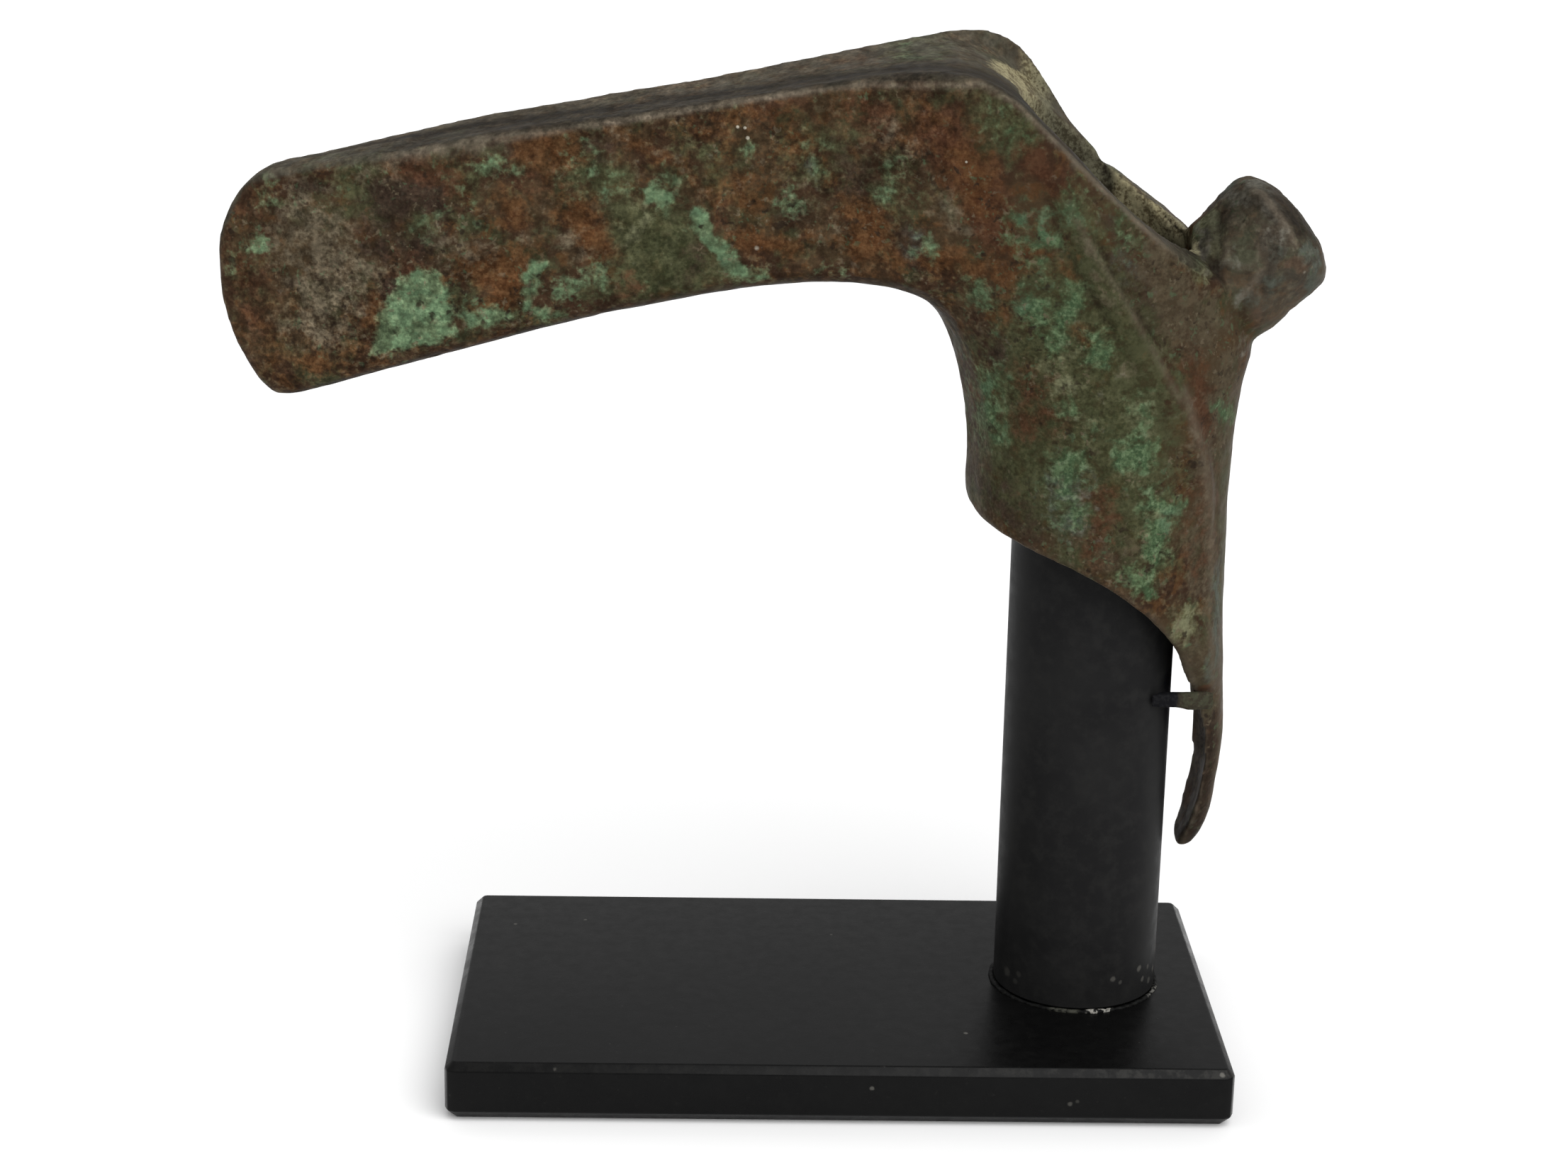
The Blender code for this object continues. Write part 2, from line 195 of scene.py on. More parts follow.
GREEN = (
    (0.85, 0.9, 1.2, (-91.2, 26.4), (-88.0, 25.8), (-85.8, 26.2)),
    (0.85, 0.8, 1.0, (-82.6, 27.6), (-81.6, 31.0), (-81.0, 33.4)),
    (0.55, 0.9, 1.4, (-82.4, 27.2), (-79.8, 25.8), (-77.4, 26.0)),
    (0.65, 1.4, 2.2, (-77.0, 30.0), (-74.6, 31.2), (-72.6, 32.6)),
    (1.0, 1.3, 1.6, (-65.4, 44.6), (-64.0, 43.6)),
    (0.8, 0.7, 1.0, (-64.0, 43.4), (-63.2, 41.8)),
    (0.4, 1.1, 1.6, (-63.0, 47.8), (-62.6, 46.4)),
    (1.0, 0.9, 1.0, (-59.0, 41.4), (-57.0, 38.2), (-54.6, 35.2), (-52.8, 33.6)),
    (0.75, 1.0, 1.6, (-54.4, 33.4), (-51.8, 33.0), (-49.4, 33.2)),
    (0.5, 0.9, 1.2, (-51.8, 52.2), (-51.8, 51.0)),
    (0.55, 1.2, 1.6, (-46.8, 44.6), (-45.6, 43.4)),
    (0.5, 1.3, 2.0, (-32.2, 50.6), (-33.2, 46.0)),
    (0.5, 1.3, 2.0, (-27.0, 40.4), (-26.0, 38.0)),
    (0.9, 0.7, 1.0, (-12.2, 43.6), (-10.6, 42.0)),
    (0.5, 1.6, 2.2, (-15.4, 45.4), (-15.6, 41.6), (-12.6, 41.0), (-12.4, 45.2)),
    (0.6, 1.2, 1.6, (-20.0, 33.8), (-19.0, 33.0)),
    (0.4, 0.8, 1.2, (-18.0, 28.4), (-17.6, 25.4)),
    (0.8, 1.4, 2.0, (-13.4, 32.4), (-11.4, 31.2)),
    (0.72, 1.3, 2.0, (-7.2, 35.0), (-7.0, 32.0), (-8.6, 29.6), (-8.8, 26.8)),
    (0.75, 1.5, 2.0, (-3.6, 27.4), (-2.2, 25.4)),
    (0.5, 1.6, 2.4, (-13.0, 38.0), (-11.6, 36.4)),
    (0.55, 1.3, 1.6, (-8.0, 17.6), (-7.0, 16.4)),
    (0.6, 1.0, 1.6, (3.0, 18.6), (4.0, 15.0), (3.0, 11.6)),
    (0.85, 1.6, 2.0, (1.6, 10.4), (4.2, 10.6)),
    (0.8, 1.6, 2.2, (-7.2, 8.8), (-5.8, 7.8)),
    (0.56, 2.6, 3.4, (-6.4, 5.0), (-5.6, 2.0)),
    (0.5, 1.2, 1.4, (-4.2, 15.0), (-3.8, 14.6)),
    (0.62, 1.7, 2.4, (-17.6, 20.4), (-17.4, 15.0), (-17.0, 10.4)),
    (0.7, 1.6, 2.2, (5.8, 3.6), (8.6, 2.0)),
    (0.9, 1.2, 1.8, (7.0, -0.4), (6.4, -4.6)),
    (0.8, 1.2, 1.8, (2.8, -7.6), (5.0, -8.4), (5.4, -10.6)),
    (0.6, 1.0, 1.4, (15.2, 16.8), (16.6, 14.6), (17.8, 12.0)),
    (0.34, 2.4, 3.2, (-18.4, 57.6), (-16.0, 55.6)),
    (0.4, 1.8, 2.6, (-9.4, 48.4), (-7.6, 44.8)),
    (0.35, 1.8, 2.6, (-1.4, 45.0), (0.0, 41.0)),
    (0.25, 0.9, 1.4, (15.8, -21.6), (17.6, -26.0)),
    (0.45, 1.4, 2.0, (-88.2, 48.4), (-84.2, 47.8)),
    (0.3, 1.0, 1.6, (-91.4, 46.4), (-90.8, 41.6)),
    (0.6, 1.1, 1.4, (-121.4, 35.0), (-119.8, 35.2)),
    (0.4, 1.3, 2.0, (-119.4, 44.6), (-117.8, 41.8)),
    (0.35, 1.4, 2.0, (-124.2, 33.0), (-123.8, 30.6)),
    (0.35, 2.6, 3.0, (-74.8, 49.2), (-71.0, 46.0)),
    (0.35, 0.9, 1.6, (-43.0, 34.2), (-38.6, 33.6)),
    (0.3, 1.4, 2.0, (-106.4, 45.4), (-104.0, 43.4)),
    (0.35, 1.6, 2.4, (-97.0, 38.4), (-95.4, 40.8)),
    (0.35, 1.4, 2.0, (-42.6, 48.8), (-43.4, 52.6)),
    (0.5, 0.7, 1.0, (11.2, 39.6), (11.6, 37.2)),
)
YELLOW = (
    (0.8, 1.2, 2.0, (12.6, -13.8), (12.0, -17.8)),
    (0.6, 0.9, 1.6, (-52.6, 33.2), (-49.4, 33.0)),
    (0.55, 1.6, 2.6, (-8.4, 24.0), (-7.8, 20.0)),
    (0.5, 1.2, 2.0, (-4.2, 15.0), (-4.0, 14.0)),
    (0.5, 1.4, 2.2, (7.0, 1.4), (7.6, -2.4)),
    (0.5, 1.0, 1.8, (3.4, 17.6), (4.0, 14.0)),
    (0.5, 0.8, 1.4, (1.6, 7.8), (3.4, 8.0)),
    (0.45, 1.6, 2.4, (-100.6, 28.0), (-102.4, 22.8)),
    (0.4, 1.6, 2.4, (-66.8, 42.6), (-68.0, 38.6)),
    (0.85, 1.2, 1.4, (11.4, 43.0), (12.4, 42.0), (11.6, 39.0)),
    (0.7, 0.5, 0.8, (9.2, 39.1), (9.6, 38.4)),
    (0.85, 1.7, 1.6, (12.9, 41.0), (13.2, 38.6), (12.6, 36.6)),
)
OLIVE = (
    (0.7, 3.0, 3.4, (-75.0, 48.8), (-71.0, 46.6)),
    (0.7, 3.2, 3.4, (-18.6, 57.4), (-15.4, 55.6)),
    (0.6, 3.0, 4.0, (-44.0, 50.0), (-40.0, 52.0)),
    (0.6, 2.6, 3.6, (-58.0, 50.0), (-55.6, 46.0)),
    (0.6, 2.6, 3.4, (-32.6, 50.6), (-33.0, 45.4)),
    (0.6, 2.6, 4.0, (-106.6, 45.6), (-102.6, 42.4)),
    (0.5, 2.6, 4.0, (-97.0, 39.0), (-89.0, 46.0)),
    (0.5, 2.0, 4.0, (-122.6, 30.0), (-121.6, 37.0)),
    (0.5, 2.0, 3.0, (-90.6, 30.6), (-90.6, 26.8), (-84.0, 25.0)),
    (0.6, 2.4, 3.0, (16.8, 14.0), (18.0, 6.0), (18.6, -6.0), (18.6, -16.0)),
    (0.5, 2.0, 3.0, (13.0, -16.0), (16.6, -28.0)),
    (0.9, 2.0, 1.6, (10.0, 40.6), (11.6, 42.2), (11.2, 38.0)),
    (0.9, 1.1, 1.2, (14.6, -31.0), (18.4, -31.2)),
)
ORANGE = (
    (0.85, 1.8, 2.2, (-82.4, 51.0), (-77.0, 50.6)),
    (0.8, 1.5, 2.0, (-85.4, 43.2), (-84.4, 41.0)),
    (1.0, 2.6, 2.4, (-88.4, 32.4), (-84.6, 32.6), (-85.6, 29.8)),
    (0.95, 2.0, 2.2, (-74.6, 41.6), (-73.2, 36.4)),
    (0.6, 1.4, 2.0, (-78.0, 43.8), (-74.6, 43.6)),
    (0.8, 1.3, 1.8, (-104.6, 27.2), (-105.0, 24.8)),
    (0.5, 2.0, 2.8, (-107.4, 22.0), (-108.0, 19.6)),
    (0.4, 3.4, 4.0, (-119.0, 25.0), (-118.4, 19.4)),
    (0.6, 1.4, 2.6, (-115.4, 18.6), (-112.0, 17.8)),
    (0.7, 0.9, 1.6, (-69.4, 53.8), (-62.6, 49.0), (-57.4, 45.0), (-55.4, 43.0)),
    (0.8, 1.6, 2.2, (-53.0, 46.0), (-51.8, 44.0)),
    (0.85, 1.5, 2.0, (-52.6, 38.6), (-49.0, 38.2), (-45.6, 37.6)),
    (0.7, 1.9, 2.6, (-47.0, 55.4), (-44.4, 52.4)),
    (0.95, 2.2, 2.4, (-36.6, 43.6), (-34.2, 40.4), (-35.4, 37.6)),
    (0.6, 1.8, 2.6, (-32.4, 36.4), (-30.4, 37.0)),
    (0.6, 2.0, 3.0, (-57.0, 54.0), (-52.0, 56.0)),
    (0.75, 2.2, 3.0, (-23.6, 53.4), (-21.6, 50.0), (-21.0, 46.0)),
    (0.5, 2.0, 3.0, (-27.6, 57.6), (-29.4, 54.0)),
    (0.7, 0.8, 1.4, (-18.0, 40.0), (-12.6, 40.0), (-9.0, 39.2), (-8.0, 37.0)),
    (0.75, 1.9, 2.6, (-25.6, 37.6), (-20.6, 36.6), (-16.4, 36.6)),
    (0.7, 0.9, 1.4, (-5.6, 28.9), (-5.0, 28.2)),
    (0.4, 1.6, 2.6, (24.0, 31.0), (26.6, 33.4)),
    (0.5, 1.6, 2.6, (-16.6, 33.6), (-16.0, 30.8)),
    (0.7, 0.6, 1.0, (-70.9, 54.3), (-63.5, 50.5), (-55.9, 42.5)),
    (0.6, 0.6, 1.0, (22.6, 31.4), (23.6, 30.8)),
)
RED = (
    (0.9, 3.0, 3.0, (-26.0, 56.6), (-24.6, 52.6), (-20.6, 48.0), (-19.0, 43.6)),
    (0.7, 2.2, 3.0, (-38.0, 57.8), (-33.6, 56.6)),
    (0.8, 1.7, 2.4, (-13.6, 53.6), (-11.6, 50.6)),
    (0.8, 1.6, 2.2, (-99.4, 48.0), (-95.0, 47.2), (-92.6, 44.6)),
    (0.7, 1.6, 2.4, (-99.4, 34.8), (-98.4, 32.6)),
    (0.7, 1.7, 2.4, (-2.4, 5.2), (-1.0, 1.0), (-2.6, -4.2)),
    (0.75, 1.3, 2.2, (10.6, 23.6), (12.0, 17.0), (12.8, 13.0)),
    (0.7, 2.4, 3.0, (-12.6, 20.6), (-10.0, 15.6), (-13.0, 13.4)),
    (0.6, 2.0, 3.0, (-82.0, 47.2), (-76.6, 48.0)),
    (0.5, 3.0, 4.0, (-122.0, 40.6), (-122.0, 25.0)),
    (0.5, 2.0, 3.0, (-68.6, 31.0), (-66.8, 31.6)),
    (0.5, 2.0, 3.4, (-55.0, 44.0), (-54.6, 40.6)),
    (0.55, 2.0, 3.4, (-44.6, 58.0), (-50.0, 56.6)),
    (0.5, 1.8, 3.0, (13.6, 6.0), (13.8, -8.0)),
    (0.9, 0.7, 1.0, (24.6, 36.6), (25.8, 36.0), (26.6, 36.4)),
    (0.7, 0.8, 1.2, (19.4, 29.2), (21.6, 29.0)),
    (0.8, 0.7, 1.0, (15.0, -28.4), (17.4, -28.2)),
)
BROWN = (
    (0.9, 3.2, 4.0, (4.6, 38.0), (6.8, 32.6), (11.6, 28.0)),
    (0.8, 2.4, 3.6, (15.6, 22.0), (14.6, 8.0), (14.2, -8.0)),
    (0.95, 2.6, 3.0, (14.6, -22.0), (16.6, -32.0), (16.6, -48.0)),
    (0.6, 2.6, 3.6, (-5.0, -2.4), (2.0, -5.0)),
)
TAN = (
    (1.0, 3.2, 4.4, (-112.6, 38.4), (-109.0, 34.4), (-110.4, 29.4)),
    (0.8, 2.2, 3.6, (-112.6, 29.0), (-111.4, 24.6)),
    (0.6, 2.4, 4.0, (-116.4, 36.6), (-113.4, 42.0)),
    (0.45, 1.6, 3.0, (-117.0, 24.6), (-115.6, 22.8)),
    (0.55, 1.4, 2.4, (-92.6, 35.6), (-89.0, 34.8)),
    (0.5, 1.9, 3.0, (-77.4, 38.4), (-75.0, 36.4)),
    (0.4, 1.9, 3.0, (-82.4, 38.6), (-80.0, 41.0)),
    (0.5, 1.6, 2.8, (-32.4, 55.4), (-31.2, 52.2)),
    (0.5, 1.6, 2.8, (-24.6, 44.4), (-23.4, 43.0)),
    (0.4, 1.8, 3.0, (-42.6, 43.6), (-40.0, 40.0)),
    (0.4, 1.0, 1.6, (2.2, 23.8), (3.6, 22.6)),
    (0.4, 1.8, 3.0, (-104.6, 46.2), (-101.0, 48.0)),
    (0.5, 0.6, 1.2, (9.6, 19.4), (11.6, 12.0), (13.8, 5.0), (14.6, -4.0), (15.6, -16.0)),
    (0.45, 0.4, 0.8, (-70.9, 54.3), (-63.5, 50.5), (-55.9, 42.5)),
    (0.35, 0.9, 1.6, (-7.2, 42.0), (-3.4, 35.6), (0.4, 30.4)),
    (0.5, 0.8, 1.2, (24.4, 32.0), (23.4, 30.2)),
    (0.45, 1.6, 2.2, (17.0, 43.0), (19.0, 41.0)),
)
DARK = (
    (0.9, 2.8, 3.4, (-101.6, 42.6), (-95.4, 43.4)),
    (0.7, 2.2, 3.0, (-103.0, 37.8), (-95.6, 36.4)),
    (0.7, 0.8, 1.4, (-115.6, 43.6), (-108.6, 44.6)),
    (0.8, 1.1, 1.6, (-102.6, 29.6), (-101.6, 29.0)),
    (0.7, 0.5, 1.2, (-116.0, 30.4), (-112.6, 28.6)),
    (0.8, 1.3, 2.0, (-29.0, 40.6), (-28.0, 38.0)),
    (0.6, 1.0, 1.6, (-46.6, 42.8), (-44.4, 42.2)),
    (0.6, 2.2, 3.0, (-25.6, 55.6), (-27.0, 52.8)),
    (0.7, 1.4, 2.4, (-18.6, 27.0), (-16.8, 23.0)),
    (0.6, 2.2, 3.0, (-37.4, 50.0), (-36.4, 46.4)),
    (0.5, 2.0, 3.0, (-90.0, 49.8), (-84.0, 50.6)),
    (0.6, 1.8, 3.0, (-70.0, 51.8), (-73.6, 51.2)),
    (0.6, 2.8, 4.0, (-17.0, 3.0), (-12.0, -1.6)),
    (0.5, 1.6, 2.4, (-119.6, 40.6), (-119.2, 38.0)),
    (0.5, 1.4, 2.2, (-60.0, 33.0), (-58.4, 36.4)),
    (0.5, 1.8, 2.4, (-2.6, 43.8), (-0.6, 40.8)),
    (0.5, 1.6, 2.6, (-1.0, 40.0), (1.6, 35.4), (3.4, 31.6)),
    (0.8, 0.7, 1.2, (15.0, 47.4), (16.4, 46.4), (15.8, 45.0)),
    (0.9, 0.8, 1.2, (20.8, 40.0), (21.8, 38.4), (21.2, 36.6), (20.6, 34.2)),
    (0.9, 1.2, 1.4, (24.6, 34.4), (26.6, 33.2), (25.0, 32.2)),
    (0.4, 0.6, 1.2, (22.4, 46.0), (24.6, 43.0), (26.4, 40.2)),
    (0.95, 1.1, 1.5, (18.0, -35.0), (18.4, -42.0), (17.8, -49.0), (16.6, -54.0)),
    (1.0, 2.4, 1.8, (14.8, -52.0), (16.6, -54.0)),
)
PALE = (
    (0.8, 0.5, 0.8, (12.9, 39.4), (12.9, 36.6)),
    (0.5, 0.5, 0.8, (14.6, 35.7), (14.8, 35.9)),
    (0.7, 0.6, 1.0, (16.0, 44.0), (17.9, 44.2)),
    # The next two rows are a painted highlight along the knob's upper right edge.
    (1.0, 0.9, 0.9, (19.0, 45.9), (20.5, 44.8), (21.6, 43.4), (22.2, 42.8)),
    (0.9, 0.5, 0.8, (23.0, 42.0), (23.6, 40.8)),
    (0.45, 0.9, 1.4, (21.6, 41.4), (22.6, 39.2)),
    (0.3, 0.6, 1.2, (16.8, 39.0), (17.4, 37.8), (15.6, 36.4), (18.4, 36.0)),
    (0.4, 0.9, 1.4, (19.2, 35.2), (19.0, 34.0)),
    (0.4, 0.8, 1.3, (18.8, 33.4), (17.2, 31.6)),
    (0.5, 0.8, 1.2, (18.8, 25.4), (18.2, 23.0)),
    (0.35, 2.0, 3.0, (-6.4, 6.0), (-5.2, 0.5)),
    (0.4, 0.5, 1.0, (16.0, -38.0), (15.3, -48.0)),
)
TEAL = (
    (0.8, 0.6, 1.4, (17.6, -9.0), (18.0, -17.0), (17.2, -26.0)),
    (0.6, 1.3, 1.8, (-28.4, 39.1)),
    (0.5, 1.0, 1.6, (-43.5, 49.4)),
    (0.9, 1.0, 1.4, (17.4, 48.4), (19.6, 47.4)),
    (0.9, 0.9, 1.2, (26.6, 38.6), (27.6, 36.4), (28.0, 33.8), (27.6, 32.2)),
    (0.9, 0.9, 1.2, (21.6, 34.2), (22.4, 33.4)),
    (0.7, 0.9, 1.4, (19.4, 31.4), (21.4, 31.4)),
    (0.5, 0.9, 1.4, (21.6, 37.4), (22.4, 39.6)),
    (0.6, 2.2, 3.4, (-6.4, 6.0), (-5.2, 0.5)),
    (0.35, 1.3, 2.0, (-1.0, 40.6), (1.6, 36.0)),
    (0.3, 0.9, 1.2, (16.0, -52.0), (16.6, -50.0)),
)
LINE_PATCHES = {"green": GREEN, "yellow": YELLOW, "olive": OLIVE, "orange": ORANGE, "red": RED,
                "brown": BROWN, "tan": TAN, "dark": DARK, "pale": PALE, "teal": TEAL}
AREA_PATCHES = {
    "green": (
        (1.0, 0.0, 1.2, (-104.3, 20.4), (-101.4, 30.2), (-98.6, 32.4), (-94.8, 33.0), (-93.6, 28.0),
         (-93.4, 23.0), (-98.0, 22.2)),
    ),
    "olive": (
        (0.95, 0.0, 3.0, (-70.6, 43.0), (-62.0, 42.0), (-57.6, 37.0), (-54.0, 32.6), (-70.2, 29.8)),
        (0.8, 0.0, 5.0, (-4.0, 45.0), (6.0, 29.0), (8.5, 10.0), (10.0, -6.0), (-4.0, -4.0), (-18.0, 0.0),
         (-18.0, 24.0), (-12.0, 36.0), (-10.0, 48.0)),
    ),
}
SOFTER = 1.7                    # every patch is this much softer than its row says
RIM_STRENGTH = 0.62             # share of a patch's strength that is left at its radius
# Loose pale grains on the near side: x, y, z of the head and radius
GRAINS = ((-50.5, -10.0, 37.4, 0.42), (-49.8, -10.0, 37.5, 0.30), (-53.4, -9.2, 54.7, 0.20),
          (-52.4, -9.2, 54.6, 0.20), (-52.0, -9.3, 53.2, 0.24), (-41.0, -11.2, 36.8, 0.18),
          (-22.4, -15.6, 51.8, 0.16), (26.0, -5.4, 35.1, 0.42), (-83.6, -7.2, 28.4, 0.20))

# Lines and places on the head -------------------------------------------------

RIB_GROOVES = (                 # width, depth, then x and z from top to bottom
    (0.75, 0.42, ((-11.3, 47.2), (-9.7, 42.9), (-7.5, 38.2), (-4.7, 33.7), (-3.0, 31.2),
                  (-0.6, 27.2), (2.6, 21.6))),
    (0.85, 0.50, ((-4.4, 41.6), (-3.2, 39.6), (-0.7, 35.4), (2.3, 31.5), (5.0, 27.3),
                  (7.6, 22.8))),
)
RIB_CREST = ((-8.6, 47.0), (-5.3, 41.2), (-2.4, 36.8), (0.6, 32.4), (4.4, 26.0), (8.6, 18.6))
BACK_RIDGE = ((9.0, 20.0), (12.0, 12.0), (14.2, 4.0), (15.2, -4.0), (16.0, -16.0), (17.2, -27.0))
TONGUE_STREAK = ((18.2, -36.0), (18.5, -43.0), (18.1, -48.0), (17.0, -54.5))
# Rims of the top: x and height of the near one, x and half the distance between the two
TOP_LINE = ((-126.0, 36.0), (-122.0, 43.9), (-102.0, 49.5), (-58.0, 57.9), (-36.0, 62.3),
            (-21.0, 63.3), (-16.0, 60.8), (-11.5, 56.6), (-5.0, 50.4), (3.1, 43.1), (9.0, 38.6))
TOP_HALF_WIDTH = ((-122.0, 2.0), (-102.0, 6.6), (-58.0, 9.3), (-36.0, 11.7), (-21.0, 16.3),
                  (-16.0, 17.0), (9.0, 17.0))
# Where the painted shade of the valley runs between the rims, 0 at the far one and 1 at the near one
VALLEY = ((-104.0, 0.30), (-85.0, 0.38), (-72.0, 0.52), (-58.0, 0.58), (-46.0, 0.62),
          (-34.0, 0.70), (-22.0, 0.72), (-12.0, 0.72))
# Folds in the rough knob: width, depth (a ridge is negative), points
KNOB_FOLDS = (
    (0.60, 0.75, ((9.2, 41.2), (7.9, 39.8), (8.4, 38.6), (9.8, 37.5), (11.2, 36.3),
                  (13.0, 35.2))),
    (0.55, 0.55, ((14.6, 44.4), (14.3, 42.0), (14.0, 40.0), (13.7, 38.2), (13.5, 36.8),
                  (13.3, 35.4))),
    (0.45, 0.45, ((12.3, 41.2), (12.4, 39.2))),
    (0.55, 0.40, ((14.2, 35.0), (16.2, 34.4), (17.8, 35.0))),
    (0.55, 0.45, ((20.8, 40.0), (21.6, 38.6), (21.2, 37.0), (20.9, 35.6), (20.4, 34.0),
                  (20.6, 32.4))),
    (0.50, 0.40, ((18.6, 33.0), (20.4, 32.4), (22.2, 32.2))),
    (0.70, 0.55, ((18.2, 30.6), (17.9, 27.2))),
    (0.60, -0.22, ((14.8, 38.0), (15.4, 36.5), (17.2, 35.9), (19.0, 36.6), (19.4, 38.4))),
    (0.80, -0.26, ((19.4, 35.2), (18.8, 33.6), (17.2, 31.6))),
    (0.55, -0.25, ((12.9, 39.2), (12.9, 36.8))),
    (0.70, -0.28, ((18.6, 46.0), (20.6, 44.6), (21.8, 43.2), (23.5, 41.2), (24.2, 39.4))),
    (0.50, -0.22, ((11.8, 43.0), (12.9, 42.2), (13.0, 40.8))),
)
KNOB_CENTRE = (19.9, 35.6)
KNOB_TILT = math.radians(40.0)
BORE_X = -0.3                   # middle of the shaft hole
BORE_HALF = (17.6, 15.2)        # half its length along X and along Y
MOUTH_HEIGHT = 43.5             # of the slanted mouth's plane over the datum
MOUTH_SLOPE = 0.9               # how far it drops for each millimetre of X


def to_head(points):
    """Row frame in metres to the head's own frame in millimetres."""
    p = points / MM - np.array([POST_X, POST_Y, PLATE_TOP + DATUM_HEIGHT])
    y = p[:, 1] * math.cos(LEAN) + p[:, 2] * math.sin(LEAN)
    z = -p[:, 1] * math.sin(LEAN) + p[:, 2] * math.cos(LEAN)
    return np.stack([p[:, 0], y, z], axis=1)


def patina_fields(p):
    """Strength of each kind of patina at points on the head."""
    warp_x = 1.5 * fractal(p, 6.0, 3, 11) + 0.5 * noise(p, 1.3, 12)
    warp_z = 1.5 * fractal(p, 6.0, 3, 31) + 0.5 * noise(p, 1.3, 32)
    far = p[:, 1] > 0.0
    # the far side wears the same kinds of patches in other places
    x = p[:, 0] + warp_x + np.where(far, 11.0, 0.0)
    z = p[:, 2] + warp_z + np.where(far, -4.0 - 0.12 * (p[:, 0] + 40.0), 0.0)
    fields = {kind: np.zeros(len(p)) for kind in LINE_PATCHES}
    for table, measure in ((LINE_PATCHES, line_distance), (AREA_PATCHES, area_distance)):
        for kind, rows in table.items():
            for strength, radius, soft, *points in rows:
                inward = (radius - measure(x, z, points)) / (soft * SOFTER)
                value = strength * np.clip(RIM_STRENGTH + inward, 0.0, 1.0)
                fields[kind] = np.maximum(fields[kind], value)
    return fields


# Mesh helpers -----------------------------------------------------------------

def coordinates(mesh):
    out = np.empty(len(mesh.vertices) * 3)
    mesh.vertices.foreach_get("co", out)
    return out.reshape(-1, 3)


def set_coordinates(mesh, points):
    mesh.vertices.foreach_set("co", points.astype(np.float32).ravel())
    mesh.update()


def vertex_normals(mesh):
    out = np.empty(len(mesh.vertices) * 3)
    mesh.vertices.foreach_get("normal", out)
    return out.reshape(-1, 3)


def swell(mesh, points, normals, amount):
    """Set the mesh to the points, moved out along their normals by millimetres."""
    set_coordinates(mesh, points + normals * amount[:, None] * MM)


def edge_pairs(mesh):
    out = np.empty(len(mesh.edges) * 2, np.int64)
    mesh.edges.foreach_get("vertices", out)
    return out.reshape(-1, 2)


def neighbour_mean(values, pairs):
    """Mean over the neighbours of each vertex, of one number or of several."""
    a, b = pairs[:, 0], pairs[:, 1]
    size = len(values)
    count = np.maximum(np.bincount(a, minlength=size) + np.bincount(b, minlength=size), 1)
    sums = [np.bincount(a, column[b], size) + np.bincount(b, column[a], size)
            for column in values.reshape(size, -1).T]
    return (np.stack(sums, axis=1) / count[:, None]).reshape(values.shape)


def relax(values, pairs, rounds, share=0.5):
    """Draw each vertex's values towards the mean of its neighbours'."""
    for _ in range(rounds):
        values = values + share * (neighbour_mean(values, pairs) - values)
    return values


def link(name, mesh):
    made = bpy.data.objects.new(name, mesh)
    bpy.context.scene.collection.objects.link(made)
    return made


def copy_of(node):
    """A bare copy of a CAD node, to work on."""
    copy = link(node + "_start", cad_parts[node].data.copy())
    copy.data.materials.clear()
    return copy


def applied(thing, name):
    """New object from thing with its modifiers applied, which replaces thing."""
    graph = bpy.context.evaluated_depsgraph_get()
    made = link(name, bpy.data.meshes.new_from_object(thing.evaluated_get(graph)))
    made.matrix_world = thing.matrix_world.copy()
    bpy.data.objects.remove(thing, do_unlink=True)
    return made


def evenly_faced(node, name, size):
    """A piece with the node's form and even faces of about this many millimetres."""
    copy = copy_of(node)
    remesh = copy.modifiers.new("even_faces", "REMESH")
    remesh.mode = "VOXEL"
    remesh.voxel_size = size * MM
    return applied(copy, name)


def add_piece(name, form):
    """Object from a bmesh in millimetres of the row frame."""
    bmesh.ops.scale(form, vec=(MM, MM, MM), verts=form.verts)
    bmesh.ops.recalc_face_normals(form, faces=form.faces)
    mesh = bpy.data.meshes.new(name)
    form.to_mesh(mesh)
    form.free()
    return link(name, mesh)


def harden(thing, degrees):
    """Keep edges sharper than this looking sharp."""
    form = bmesh.new()
    form.from_mesh(thing.data)
    for edge in form.edges:
        edge.smooth = (len(edge.link_faces) == 2
                       and edge.calc_face_angle() < math.radians(degrees))
    form.to_mesh(thing.data)
    form.free()


def set_masks(mesh, masks):
    """Store numbers from 0 to 1 on the vertices, for the materials to read."""
    for name, values in masks.items():
        layer = mesh.attributes.new(name, "FLOAT", "POINT")
        layer.data.foreach_set("value", np.clip(values, 0.0, 1.0).astype(np.float32))


# Head -------------------------------------------------------------------------

